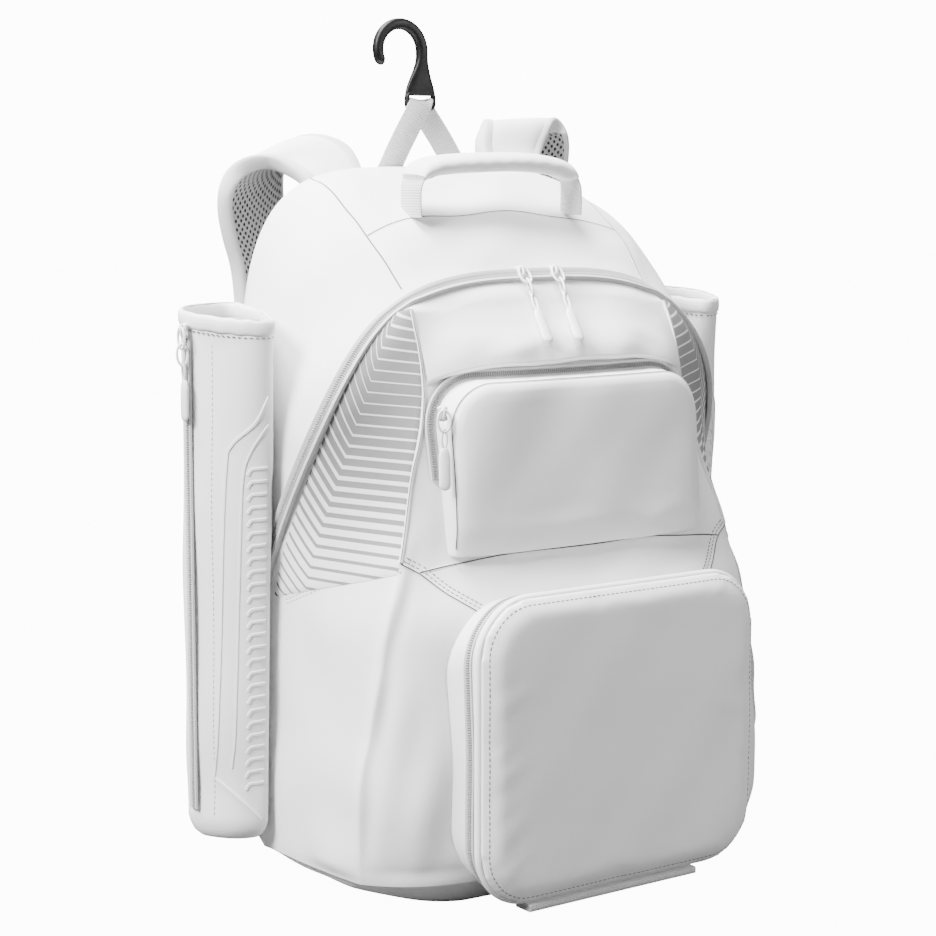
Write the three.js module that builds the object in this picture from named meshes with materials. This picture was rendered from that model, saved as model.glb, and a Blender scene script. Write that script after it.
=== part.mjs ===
// White baseball bat backpack, standing upright.
// Millimetres, +Z up. The origin is on the ground under the middle of the base, the front faces -Y.
import * as THREE from "three";

// Main body
const bodyHeight = 508; // ground to the top of the back panel
const bodyHalfWidth = 190; // middle to the widest part of the gusset
const backHalfWidth = 172; // middle to the edge of the back panel
const backY = 113; // plane where the gusset meets the back panel
const frontDepth = 106; // from the middle plane to the body's own front face
const clothWall = 2.6; // padded cloth of the main body
const seamGap = 0.3; // clearance between two pieces that are sewn together
const seatGap = 1.2; // clearance under a piece that is sewn onto a curved face
const edgeRise = 22; // height of the bottom seam at the sides, above the ground
const footHalfWidth = 104; // half width of the flat that the pack stands on
const topBulge = 14; // crown of the top panel
const sideBulge = 5; // crown of the side gusset

// Main zip, an arch open at the bottom
const zipTop = bodyHeight - 78; // height of its apex
const zipSpring = 190; // height where the arch starts to close in
const zipEnd = 174; // height where the zip stops at each side
const zipTopY = -14;
const zipEndY = 55;
const zipArchPower = 3.1;
const zipWidth = 10;
const zipThick = 2;
const zipLift = 2; // the band stands over the rounded joint
const panelThick = 1.2; // grey chevron panels

// Upper pocket
const pocketHalfWidth = 111;
const pocketLow = bodyHeight * 0.478;
const pocketHigh = bodyHeight * 0.7125;
const pocketCorner = 34;
const pocketLowY = -83; // plane of its face at its lower edge
const pocketHighY = -74; // and at its upper edge
const pocketRound = 7; // how far the face falls back at its sides
const pocketWall = 1.6;
const hoodHeight = 17;
const hoodReach = 15;
const hoodThick = 3;

// Lower compartment and its padded flap
const flapHalfWidth = 119;
const flapLow = 5;
const flapHigh = bodyHeight * 0.425;
const flapCorner = 40;
const flapFrontY = -122;
const flapThick = 11;
const gussetHalfWidth = 136;
const gussetLow = 13;
const gussetHigh = flapHigh - 5;
const gussetCorner = 54;
const gussetWall = 2;
const tabHalfWidth = 77;
const tabThick = 3;

// Bat sleeves
const sleeveHalfSpan = 237; // middle of the pack to the outer edge of a sleeve
const sleeveFrontY = 22;
const sleeveRearY = 110;
const sleeveEdgeY = 71; // depth of the zip along its outer edge
const sleeveLow = 33;
const sleeveHigh = bodyHeight - 100;
const sleeveWall = 2.2;
const sleeveHemHeight = 12;
const hemThick = 1.6;

// Mesh pocket on the right side
const meshRise = 9;
const meshWall = 1.2;

// Back pad and shoulder straps
const padHalfWidth = 138;
const padLow = 62;
const padHigh = bodyHeight - 38;
const padThick = 10;
const padCorner = 46;
const strapSpan = 167; // middle of the pack to the outer edge of a strap
const strapReach = 52; // how far the straps stand behind the back panel
const strapPeak = bodyHeight + 23; // top of the left strap
const strapDrop = 317; // from there down to its buckle
const strapThick = 12;
const webbingWidth = 25;
const webbingThick = 2;
const buckleHeight = 34;
const buckleThick = 7;

// Haul handle, hanging loop and hook
const handleHalfSpan = 76;
const handleY = 33;
const handleTop = bodyHeight + 4;
const handleEase = 9; // height of its foot's bend
const handleWidth = 25;
const handleThick = 5;
const loopWidth = 20;
const loopThick = 2.4;
const loopHalfSpan = 36;
const loopTop = bodyHeight + 49;
const loopDrop = 12; // its feet, below the body's top
const hookHeight = 61; // from its bar to the top of its bend
const hookBend = 21; // radius of the bend
const hookThick = 8;
const hookBar = 30;

// Zip pulls
const sliderLength = 11;
const sliderWidth = 8;
const sliderThick = 4;
const pullLength = 30;
const pullWidth = 8;
const pullThick = 3;
const cordThick = 2.4;

// One row for each level of the front, from the base up. Heights are shares of the body's height,
// widths of its half width and depths of its front depth. "round" says how squarely the front turns
// from the fold line into the middle.
const frontLevels = [
  { zip: 0.049, level: 0.041, fold: 0.942, foldDepth: 0.50, middle: 0.9, round: 6 },
  { zip: 0.075, level: 0.071, fold: 0.958, foldDepth: 0.53, middle: 0.925, round: 6.5 },
  { zip: 0.120, level: 0.116, fold: 0.963, foldDepth: 0.54, middle: 0.925, round: 6.5 },
  { zip: 0.180, level: 0.180, fold: 0.960, foldDepth: 0.55, middle: 0.92, round: 6.5 },
  { zip: 0.245, level: 0.256, fold: 0.925, foldDepth: 0.57, middle: 0.92, round: 6 },
  { zip: 0.315, level: 0.335, fold: 0.880, foldDepth: 0.60, middle: 0.91, round: 5 },
  { zip: 0.370, level: 0.405, fold: 0.842, foldDepth: 0.59, middle: 0.88, round: 4 },
  { zip: 0.415, level: 0.476, fold: 0.780, foldDepth: 0.55, middle: 0.68, round: 2.6 },
  { zip: 0.475, level: 0.530, fold: 0.731, foldDepth: 0.50, middle: 0.61, round: 2.2 },
  { zip: 0.561, level: 0.594, fold: 0.684, foldDepth: 0.453, middle: 0.56, round: 2 },
  { zip: 0.636, level: 0.672, fold: 0.631, foldDepth: 0.41, middle: 0.53, round: 2 },
  { zip: 0.689, level: 0.712, fold: 0.613, foldDepth: 0.383, middle: 0.5, round: 2 },
  { zip: 0.738, level: 0.756, fold: 0.606, foldDepth: 0.325, middle: 0.45, round: 2 },
  { zip: 0.774, level: 0.783, fold: 0.605, foldDepth: 0.28, middle: 0.36, round: 2 },
  { zip: 0.799, level: 0.807, fold: 0.602, foldDepth: 0.235, middle: 0.28, round: 2 },
];
// One row for each station of a shoulder strap, from its seam to its buckle, for its outer and its
// inner edge: shares of strapSpan outwards, of strapReach backwards and of strapDrop below the peak.
// "rise" says how much higher the right strap stands there.
const strapEdges = [
  { outer: [0.659, -0.022, 0.140], inner: [0.341, -0.022, 0.140], rise: 0 },
  { outer: [0.659, 0.01, 0.105], inner: [0.341, 0.01, 0.098], rise: 0.005 },
  { outer: [0.731, 0.30, 0.063], inner: [0.359, 0.26, 0.025], rise: 0.018 },
  { outer: [0.856, 0.41, 0.054], inner: [0.431, 0.51, 0], rise: 0.05 },
  { outer: [0.958, 0.47, 0.076], inner: [0.515, 0.78, 0.006], rise: 0.073 },
  { outer: [1, 0.52, 0.117], inner: [0.575, 0.97, 0.047], rise: 0.076 },
  { outer: [1, 0.58, 0.167], inner: [0.587, 1, 0.117], rise: 0.06 },
  { outer: [0.958, 0.62, 0.237], inner: [0.563, 0.99, 0.218], rise: 0.031 },
  { outer: [0.898, 0.66, 0.312], inner: [0.515, 0.96, 0.312], rise: 0.012 },
  { outer: [0.874, 0.66, 0.413], inner: [0.479, 0.85, 0.413], rise: 0 },
  { outer: [0.874, 0.62, 0.587], inner: [0.467, 0.73, 0.587], rise: 0 },
  { outer: [0.887, 0.55, 0.792], inner: [0.515, 0.58, 0.792], rise: 0 },
  { outer: [0.86, 0.48, 0.99], inner: [0.64, 0.49, 1.004], rise: 0 },
];
const chevronRow = 7; // the level where the chevron panels start
const meshRows = [2, 6];
const foldShares = [0, 0.3, 0.58, 0.8]; // columns between the middle and the fold line
const heelShares = [0, 0.28, 0.5, 0.66, 0.78, 0.87, 0.94, 1]; // the same columns along the back's foot
const zipEdge = zipWidth / 2 + 2.5; // from the zip's line to the column beside it

const white = { color: 0xf1f1ef, roughness: 0.62, metalness: 0 };
const zipCloth = { color: 0xe9e9e7, roughness: 0.7, metalness: 0 };
const greyCloth = { color: 0xb4b4b4, roughness: 0.75, metalness: 0 };
const padCloth = { color: 0xd9d9d8, roughness: 0.9, metalness: 0 };
const webbing = { color: 0xe4e4e2, roughness: 0.8, metalness: 0 };
const whitePlastic = { color: 0xf3f3f2, roughness: 0.35, metalness: 0 };
const blackPlastic = { color: 0x151515, roughness: 0.35, metalness: 0 };

const backpack = new THREE.Group();
const vec = (x, y, z) => new THREE.Vector3(x, y, z);
const mix = (a, b, t) => a + (b - a) * t;
const smooth = (t) => THREE.MathUtils.smoothstep(t, 0, 1);
const between = (a, b, t) => a.clone().lerp(b, t);

// Adds a closed solid, turned so that its faces point outwards.
function addSolid(name, points, faces, look) {
  let volume = 0;
  for (const [a, b, c] of faces) {
    volume += points[a].dot(points[b].clone().cross(points[c]));
  }
  const flat = new Float32Array(points.flatMap((p) => [p.x, p.y, p.z]));
  const geometry = new THREE.BufferGeometry();
  geometry.setAttribute("position", new THREE.BufferAttribute(flat, 3));
  geometry.setIndex(faces.flatMap(([a, b, c]) => (volume > 0 ? [a, b, c] : [a, c, b])));
  geometry.computeVertexNormals();
  const mesh = new THREE.Mesh(geometry, new THREE.MeshStandardMaterial(look));
  mesh.name = name;
  backpack.add(mesh);
}

// Faces of a grid of points numbered row by row. A ring joins its last column to its first.
function gridFaces(rowCount, columnCount, ring, first = 0) {
  const faces = [];
  for (let i = 0; i < rowCount - 1; i += 1) {
    for (let j = 0; j < (ring ? columnCount : columnCount - 1); j += 1) {
      const a = first + i * columnCount + j;
      const b = first + i * columnCount + ((j + 1) % columnCount);
      faces.push([a, b, b + columnCount], [a, b + columnCount, a + columnCount]);
    }
  }
  return faces;
}

// Outward normal of a grid of points at row i, column j.
function gridNormal(rows, i, j, ring) {
  const count = rows[i].length;
  const left = ring ? (j + count - 1) % count : Math.max(j - 1, 0);
  const right = ring ? (j + 1) % count : Math.min(j + 1, count - 1);
  const along = rows[i][right].clone().sub(rows[i][left]);
  const across = rows[Math.min(i + 1, rows.length - 1)][j].clone().sub(rows[Math.max(i - 1, 0)][j]);
  return along.cross(across).normalize();
}

// Two grids of the same size, joined along their edges into one wall. With "cap" the last row is
// closed by a fan on each side.
function addWall(name, outer, inner, look, { ring = false, cap = false } = {}) {
  const rowCount = outer.length;
  const columnCount = outer[0].length;
  const total = rowCount * columnCount;
  const points = [...outer.flat(), ...inner.flat()];
  const faces = gridFaces(rowCount, columnCount, ring);
  faces.push(...gridFaces(rowCount, columnCount, ring, total).map(([a, b, c]) => [a, c, b]));
  const rim = (a, b) => faces.push([a, a + total, b + total], [a, b + total, b]);
  for (let j = 0; j < (ring ? columnCount : columnCount - 1); j += 1) {
    const next = (j + 1) % columnCount;
    rim(j, next);
    const a = total - columnCount + j;
    const b = total - columnCount + next;
    if (!cap) rim(b, a);
  }
  for (let i = 0; !ring && i < rowCount - 1; i += 1) {
    rim((i + 1) * columnCount, i * columnCount);
    rim((i + 1) * columnCount - 1, (i + 2) * columnCount - 1);
  }
  if (cap) {
    for (const first of [total - columnCount, 2 * total - columnCount]) {
      const centre = vec(0, 0, 0);
      for (let j = 0; j < columnCount; j += 1) centre.addScaledVector(points[first + j], 1 / columnCount);
      points.push(centre);
      for (let j = 0; j < columnCount; j += 1) {
        const face = [first + j, first + ((j + 1) % columnCount), points.length - 1];
        faces.push(first < total ? face : [face[1], face[0], face[2]]);
      }
    }
  }
  addSolid(name, points, faces, look);
}

// A wall on a grid: its underside lies "lift" above the grid, its face "lift + thick" above it.
// "inside" is any point behind the grid.
function addSkin(name, rows, lift, thick, look, inside) {
  const raised = (height) => rows.map((row, i) => row.map((p, j) => {
    const normal = gridNormal(rows, i, j);
    if (normal.dot(p.clone().sub(inside)) < 0) normal.negate();
    return p.clone().addScaledVector(normal, height);
  }));
  addWall(name, raised(lift + thick), raised(lift), look);
}

// A solid lofted through closed sections, capped flat at both ends.
function addLoft(name, sections, look) {
  const count = sections[0].length;
  const points = sections.flat();
  const faces = gridFaces(sections.length, count, true);
  for (let j = 1; j < count - 1; j += 1) {
    faces.push([0, j + 1, j]);
    const last = points.length - count;
    faces.push([last, last + j, last + j + 1]);
  }
  addSolid(name, points, faces, look);
}

// The sections of a strap or cord along a path. Each station has its middle, the direction of its
// width and its own width and thickness. "corner" cuts the section's edges, and with "slanted" the
// width isn't turned square to the path.
function sweep(stations, corner = 0.3, slanted = false) {
  return stations.map((station, i) => {
    const before = stations[Math.max(i - 1, 0)].at;
    const after = stations[Math.min(i + 1, stations.length - 1)].at;
    const along = after.clone().sub(before).normalize();
    const across = station.across.clone();
    if (!slanted) across.addScaledVector(along, -along.dot(across));
    across.normalize();
    const up = along.clone().cross(across).normalize();
    const w = station.width / 2;
    const t = station.thick / 2;
    const c = Math.min(w, t) * corner * 2;
    const outline = [[w - c, -t], [w, c - t], [w, t - c], [w - c, t]];
    outline.push(...outline.map(([a, b]) => [-a, -b]));
    return outline.map(([a, b]) => station.at.clone().addScaledVector(across, a).addScaledVector(up, b));
  });
}

// A strap of even width through a few points, in equal steps.
function strapStations(points, across, width, thick, steps) {
  const curve = new THREE.CatmullRomCurve3(points, false, "centripetal");
  return curve.getSpacedPoints(steps).map((at) => ({ at, across, width, thick }));
}

// An upright rounded rectangle as a loop of (x, z), counted from the middle of its bottom edge.
function roundRect(halfWidth, low, high, corner, cornerSteps = 4, edgeSteps = 4) {
  const loop = [];
  const edge = (a, b) => {
    for (let k = 0; k < edgeSteps; k += 1) {
      loop.push([mix(a[0], b[0], k / edgeSteps), mix(a[1], b[1], k / edgeSteps)]);
    }
  };
  const turn = (cx, cz, from) => {
    for (let k = 0; k < cornerSteps; k += 1) {
      const angle = from + (Math.PI / 2) * (k / cornerSteps);
      loop.push([cx + corner * Math.cos(angle), cz + corner * Math.sin(angle)]);
    }
  };
  const x = halfWidth - corner;
  edge([0, low], [x, low]);
  turn(x, low + corner, -Math.PI / 2);
  edge([halfWidth, low + corner], [halfWidth, high - corner]);
  turn(x, high - corner, 0);
  edge([x, high], [-x, high]);
  turn(-x, high - corner, Math.PI / 2);
  edge([-halfWidth, high - corner], [-halfWidth, low + corner]);
  turn(-x, low + corner, Math.PI);
  edge([-x, low], [0, low]);
  return loop;
}

// Half width and depth of the main zip's line at a height.
function zipAt(z) {
  const rise = THREE.MathUtils.clamp((z - zipSpring) / (zipTop - zipSpring), 0, 1);
  const x = bodyHalfWidth * (1 - rise ** zipArchPower) ** (1 / zipArchPower);
  const y = mix(zipEndY, zipTopY, smooth((z - zipEnd) / (zipTop - 45 - zipEnd)));
  return vec(x, y, z);
}

// Height of the main zip's line above a half width, for its top stretch.
function zipOver(x) {
  const rise = (1 - (Math.abs(x) / bodyHalfWidth) ** zipArchPower) ** (1 / zipArchPower);
  return vec(x, zipTopY, mix(zipSpring, zipTop, rise));
}

// The front as a grid: a row for each level and one on the top stretch of the zip. Columns run from
// the zip on the left, over the fold line and the middle, to the zip on the right.
function frontHalfRow(level) {
  const zip = zipAt(level.zip * bodyHeight);
  const fold = vec(level.fold * bodyHalfWidth, -level.foldDepth * frontDepth, level.level * bodyHeight);
  const plan = fold.clone().sub(zip);
  const outward = vec(-plan.y, plan.x, 0).normalize();
  if (outward.x < 0) outward.negate();
  const crown = 6 + 13 * Math.exp(-(((zip.z - 220) / 45) ** 2));
  const bend = between(zip, fold, 0.5).addScaledVector(outward, crown);
  const side = new THREE.QuadraticBezierCurve3(fold, bend, zip);
  const columns = foldShares.map((share) => {
    const y = mix(-level.middle * frontDepth, fold.y, share ** level.round);
    return vec(fold.x * share, y, fold.z);
  });
  const edge = Math.min(zipEdge / zip.distanceTo(fold), 0.45);
  columns.push(fold, side.getPoint((1 - edge) / 2), side.getPoint(1 - edge), zip);
  return columns;
}

function topHalfRow() {
  const corner = zipAt(frontLevels.at(-1).zip * bodyHeight).x * 0.9;
  const shares = [...foldShares, 0.92, 0.96, 0.98, 1];
  return shares.map((share) => zipOver(corner * share));
}

const mirror = (p) => vec(-p.x, p.y, p.z);
const wholeRow = (half) => [...half.slice(1).reverse().map(mirror), ...half];
const frontGrid = [...frontLevels.map(frontHalfRow), topHalfRow()].map(wholeRow);
const columnCount = frontGrid[0].length;
const lastColumn = columnCount - 1;
const lastRow = frontGrid.length - 1;
const middleColumn = lastColumn / 2;

// Depth of the front's surface at (x, z), inside its fold lines.
function frontY(x, z) {
  const row = Math.max(0, Math.min(lastRow - 1, frontGrid.findIndex((r) => r[middleColumn].z > z) - 1));
  const depthIn = (cells) => {
    const j = Math.max(1, cells.findIndex((p) => p.x > x));
    return mix(cells[j - 1].y, cells[j].y, (x - cells[j - 1].x) / (cells[j].x - cells[j - 1].x));
  };
  const low = frontGrid[row];
  const high = frontGrid[row + 1];
  const share = (z - low[middleColumn].z) / (high[middleColumn].z - low[middleColumn].z);
  return mix(depthIn(low), depthIn(high), THREE.MathUtils.clamp(share, 0, 1));
}

// The edge of the front grid as one ring, with the next point inwards beside each of its points.
function edgeRing() {
  const ring = [];
  const add = (i, j, k, l) => ring.push({ at: frontGrid[i][j], inside: frontGrid[k][l], i, j });
  for (let j = 0; j <= lastColumn; j += 1) add(0, j, 1, THREE.MathUtils.clamp(j, 1, lastColumn - 1));
  for (let i = 1; i < lastRow; i += 1) add(i, lastColumn, i, lastColumn - 1);
  for (let j = lastColumn; j >= 0; j -= 1) {
    add(lastRow, j, lastRow - 1, THREE.MathUtils.clamp(j, 1, lastColumn - 1));
  }
  for (let i = lastRow - 1; i > 0; i -= 1) add(i, 0, i, 1);
  return ring;
}

// Half width of the back panel at a height.
function backHalf(z) {
  const spring = bodyHeight * 0.49;
  const rise = THREE.MathUtils.clamp((z - spring) / (bodyHeight - spring), 0, 1);
  const dip = THREE.MathUtils.clamp((edgeRise + 60 - z) / 60, 0, 1);
  return backHalfWidth * (1 - rise ** 4.4) ** (1 / 4.4) * (1 - 0.1 * dip ** 3);
}

// The point of the back panel's edge that a point of the mouth runs back to.
function backPoint({ at, i, j }) {
  const stretch = (bodyHeight - edgeRise) / (zipTop - edgeRise);
  if (i === 0) {
    const share = heelShares[Math.abs(j - middleColumn)];
    return vec(Math.sign(j - middleColumn) * share * backHalf(edgeRise), backY, edgeRise);
  }
  const z = edgeRise + (at.z - edgeRise) * stretch;
  if (i < lastRow) return vec(Math.sign(at.x) * backHalf(z), backY, z);
  const corner = frontGrid[lastRow][lastColumn];
  const cornerZ = edgeRise + (corner.z - edgeRise) * stretch;
  const x = at.x * (backHalf(cornerZ) / corner.x);
  const share = Math.min(Math.abs(x) / backHalfWidth, 1);
  const spring = bodyHeight * 0.49;
  return vec(x, backY, spring + (bodyHeight - spring) * (1 - share ** 4.4) ** (1 / 4.4));
}

// The shell's ring at a share of the way from the mouth to the back panel.
function gussetRing(ring, share) {
  const swell = 4 * share * (1 - share);
  return ring.map((edge) => {
    const p = between(edge.at, backPoint(edge), share);
    if (edge.i === 0) {
      const reach = Math.max(0, (Math.abs(p.x) - footHalfWidth) / (bodyHalfWidth - footHalfWidth));
      p.z = mix(0, edgeRise, Math.min(reach, 1) ** 1.6);
    } else if (edge.i === lastRow) {
      p.z += topBulge * swell;
    } else {
      p.x += Math.sign(p.x) * sideBulge * swell;
      p.z += topBulge * swell * smooth((p.z - bodyHeight * 0.7) / (bodyHeight * 0.2));
    }
    return p;
  });
}

const centre = vec(0, 20, bodyHeight * 0.45);
const ring = edgeRing();
const shellRows = [
  ring.map((edge) => edge.at),
  gussetRing(ring, 0.1),
  gussetRing(ring, 0.36),
  gussetRing(ring, 0.64),
  gussetRing(ring, 0.92),
  ring.map(backPoint),
];
const rimCentre = vec(0, backY, bodyHeight * 0.5);
shellRows.push(shellRows.at(-1).map((p) => between(p, rimCentre, 0.06).setY(backY + 3)));
shellRows.push(shellRows.at(-1).map((p) => between(p, rimCentre, 0.5).setY(backY + 4)));

// Direction of the mouth's wall, halfway between the front's and the gusset's own normals.
function mitre(k) {
  const count = ring.length;
  const along = ring[(k + 1) % count].at.clone().sub(ring[(k + count - 1) % count].at);
  const out = ring[k].at.clone().sub(centre);
  const facing = (n) => (n.dot(out) < 0 ? n.negate() : n).normalize();
  const front = facing(along.clone().cross(ring[k].inside.clone().sub(ring[k].at)));
  const side = facing(along.clone().cross(shellRows[1][k].clone().sub(ring[k].at)));
  const cosine = Math.max(0.6, Math.sqrt((1 + front.dot(side)) / 2));
  return front.add(side).normalize().multiplyScalar(1 / cosine);
}
const mouth = ring.map((edge, k) => ({ ...edge, out: mitre(k), k }));
const mouthOf = new Map(mouth.map((edge) => [edge.i * columnCount + edge.j, edge]));

// Body shell: the back panel, the gusset round the arch and the base, one hollow tub.
function makeBodyShell() {
  const step = (row, next, k) => next[k].clone().sub(row[k]).setLength(seamGap / 2);
  const first = shellRows[0].map((p, k) => p.clone().add(step(shellRows[0], shellRows[1], k)));
  const outer = [first, ...shellRows.slice(1)];
  const inner = outer.map((row, i) =>
    row.map((p, k) => {
      const out = i ? gridNormal(outer, i, k, true) : mouth[k].out.clone();
      if (i && out.dot(p.clone().sub(centre)) < 0) out.negate();
      return p.clone().addScaledVector(out, -clothWall);
    }),
  );
  addWall("body_shell", outer, inner, white, { ring: true, cap: true });
}

// Front panel: from the zip over the fold lines, with the lower wings, closing the tub.
function makeFrontPanel() {
  const place = (i, j) => {
    const edge = mouthOf.get(i * columnCount + j);
    const p = frontGrid[i][j].clone();
    return edge ? p.add(edge.inside.clone().sub(edge.at).setLength(seamGap / 2)) : p;
  };
  const outer = frontGrid.map((row, i) => row.map((_, j) => place(i, j)));
  const inner = outer.map((row, i) =>
    row.map((p, j) => {
      const edge = mouthOf.get(i * columnCount + j);
      const out = edge ? edge.out.clone() : gridNormal(frontGrid, i, j);
      return p.clone().addScaledVector(out, -clothWall);
    }),
  );
  addWall("front_panel", outer, inner, white);
}

// The point of a line of points where one of its axes reaches a value.
function pointAt(line, axis, value) {
  const k = Math.max(1, line.findIndex((p) => p[axis] > value));
  const share = (value - line[k - 1][axis]) / (line[k][axis] - line[k - 1][axis]);
  return between(line[k - 1], line[k], THREE.MathUtils.clamp(share, 0, 1));
}

// Half width of the gusset's outer face at (y, z), and the height of the top panel at (x, y).
function gussetX(y, z) {
  const onSide = ({ i, j }) => j === lastColumn || (i === lastRow && j > middleColumn);
  const sides = shellRows.slice(0, 6).map((row) => pointAt(row.filter((_, k) => onSide(mouth[k])), "z", z));
  return pointAt(sides, "y", y).x;
}

function topZ(x, y) {
  const onTop = (row) => row.filter((_, k) => mouth[k].i === lastRow).reverse();
  return pointAt(shellRows.slice(0, 6).map((row) => pointAt(onTop(row), "x", x)), "y", y).z;
}

// Main zip: one band over the joint between the gusset and the front, from side to side.
function makeMainZip() {
  const onArch = mouth.filter((edge) => edge.i > 0 && edge.at.z > zipEnd);
  const start = onArch.findIndex((edge) => edge.j === lastColumn);
  const path = [...onArch.slice(start), ...onArch.slice(0, start)];
  const stations = path.map((edge) => ({ at: edge.at, out: edge.out.clone().normalize() }));
  const stop = (station, side) => {
    const below = mouth.find(({ i, j }) => j === side && i > 0 && frontGrid[i + 1]?.[side] === station.at);
    return { at: pointAt([below.at, station.at], "z", zipEnd), out: station.out };
  };
  stations.unshift(stop(stations[0], lastColumn));
  stations.push(stop(stations.at(-1), 0));
  const sections = stations.map(({ at, out }, k) => {
    const before = stations[Math.max(k - 1, 0)].at;
    const after = stations[Math.min(k + 1, stations.length - 1)].at;
    const across = after.clone().sub(before).cross(out).normalize();
    const corner = (side, rise) =>
      at.clone().addScaledVector(across, (side * zipWidth) / 2).addScaledVector(out, rise);
    const high = zipLift + zipThick;
    return [corner(-1, zipLift), corner(1, zipLift), corner(0.9, high), corner(-0.9, high)];
  });
  addLoft("main_zip", sections, zipCloth);
}

// Grey chevron panels between the zip and the fold line on each side.
function makeChevrons() {
  for (const [side, first] of [["left", 1], ["right", middleColumn + foldShares.length]]) {
    const rows = frontGrid.slice(chevronRow, lastRow).map((row) => row.slice(first, first + 3));
    addSkin("chevron_panel_" + side, rows, seamGap, panelThick, greyCloth, centre);
  }
}

// A row of points on the front's surface along a loop of (x, z), raised towards the front.
const onFront = (loop, rise) => loop.map(([x, z]) => vec(x, frontY(x, z) - seatGap - rise, z));

// Upper pocket: a hollow panel that stands proud of the front, open at its back.
function makeUpperPocket() {
  const loop = (inset) => {
    const corner = Math.max(pocketCorner - inset, 4);
    return roundRect(pocketHalfWidth - inset, pocketLow + inset, pocketHigh - inset, corner);
  };
  const face = ([x, z]) => {
    const plane = mix(pocketLowY, pocketHighY, (z - pocketLow) / (pocketHigh - pocketLow));
    return vec(x, plane + pocketRound * (x / pocketHalfWidth) ** 4, z);
  };
  const rise = (inset, share, wall) => loop(inset + wall).map((p) => {
    const foot = onFront([p], 0)[0];
    return share ? between(foot, face(p).add(vec(0, wall, 0)), share) : foot;
  });
  const steps = [[0, 0], [0.5, 0.6], [2, 0.88], [8, 0.98], [20, 1], [44, 1.04]];
  const outer = steps.map(([inset, share]) => rise(inset, share, 0));
  const inner = steps.map(([inset, share]) => rise(inset, share, pocketWall));
  addWall("upper_pocket", outer, inner, white, { ring: true, cap: true });
}

// Pocket zip: a band round the top and the upper corners of the pocket.
function makePocketZip() {
  const loop = (outset) =>
    roundRect(pocketHalfWidth + outset, pocketLow - outset, pocketHigh + outset, pocketCorner + outset);
  const steps = loop(0).length;
  const from = Math.round(steps * 0.25);
  const to = steps - from + 1;
  const band = (outset, rise) => onFront(loop(outset).slice(from, to), rise);
  const sections = band(1, 0).map((_, k) => {
    const at = (outset, rise) => band(outset, rise)[k];
    return [at(1, 0), at(8, 0), at(7.5, zipThick), at(1.5, zipThick)];
  });
  addLoft("pocket_zip", sections, zipCloth);
}

// Hood: the fold of the front that overhangs the pocket's zip.
function makePocketHood() {
  const half = pocketHalfWidth - 1;
  const shares = [-1, -0.86, -0.66, -0.4, -0.13, 0.13, 0.4, 0.66, 0.86, 1];
  const sections = shares.map((share) => {
    const x = share * half;
    const drop = 12 * share ** 6;
    const low = pocketHigh + 3.4 - drop * 0.2;
    const point = (z, rise) => vec(x, frontY(x, z) - seatGap - rise, z);
    const reach = hoodReach * (1 - 0.5 * share ** 8);
    const top = low + hoodHeight - drop * 0.5;
    const under = [point(top, 0), point(mix(low, top, 0.5), reach * 0.62), point(low, reach)];
    const over = [point(low, reach + hoodThick), point(mix(low, top, 0.55), reach * 0.62 + hoodThick)];
    return [...under, ...over, point(top, hoodThick * 0.5)];
  });
  addLoft("pocket_hood", sections, white);
}

// Lower compartment: a gusset ring from the front panel out to the padded flap.
function makeCompartment() {
  const step = (share, inset) => roundRect(
    mix(gussetHalfWidth, flapHalfWidth - 1, share) - inset,
    mix(gussetLow, flapLow + 1, share) + inset,
    mix(gussetHigh, flapHigh - 1, share) - inset,
    mix(gussetCorner, flapCorner, share) - inset,
  );
  const rows = (inset) => [0, 0.35, 0.7, 1].map((share) => {
    const back = onFront(step(share, inset), 0);
    return back.map((p) => p.setY(mix(p.y, flapFrontY + flapThick + seamGap, share ** 1.5)));
  });
  addWall("compartment_gusset", rows(0), rows(gussetWall), white, { ring: true });
}

function makeFlap() {
  const steps = [[2, 0], [0, 0.25], [0.4, 0.68], [4, 0.93], [11, 1]];
  const sections = steps.map(([inset, share]) => {
    const loop = roundRect(flapHalfWidth - inset, flapLow + inset, flapHigh - inset, flapCorner - inset);
    return loop.map(([x, z]) => vec(x, flapFrontY + flapThick * (1 - share), z));
  });
  addLoft("front_flap", sections, white);
}

function makeBottomTab() {
  const reach = flapThick + 6;
  const top = flapLow - 2 * seamGap;
  const section = (x) => {
    const low = vec(x, flapFrontY + tabThick, top - tabThick);
    const high = vec(x, flapFrontY + tabThick, top);
    return [low, low.clone().setY(low.y + reach), high.clone().setY(high.y + reach), high];
  };
  addLoft("bottom_tab", [-tabHalfWidth, tabHalfWidth].map(section), webbing);
}

// The outline of a sleeve at a height, from its front seam along the body and back round outside.
function sleeveLoop(z, inset = 0) {
  const clear = zipLift + zipThick + 5 * seamGap + 2 * hemThick * smooth((z - sleeveHigh + 90) / 60);
  const inner = [0, 0.28, 0.52, 0.76, 1].map((share) => {
    const y = mix(sleeveFrontY + inset, sleeveRearY - 3 - inset, share);
    return vec(gussetX(y, z) + clear + inset, y, z);
  });
  const outside = sleeveHalfSpan - inset;
  const front = vec(inner[0].x + 3, sleeveFrontY + inset, z);
  const edge = vec(outside, sleeveEdgeY, z);
  const rear = vec(inner.at(-1).x + 3, sleeveRearY - inset, z);
  const fore = new THREE.QuadraticBezierCurve3(front, vec(outside - 13, sleeveFrontY + inset, z), edge);
  const aft = new THREE.QuadraticBezierCurve3(edge, vec(outside, sleeveRearY - inset, z), rear);
  return [...inner, ...aft.getPoints(4).reverse(), ...fore.getPoints(4).reverse().slice(1)];
}

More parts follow.
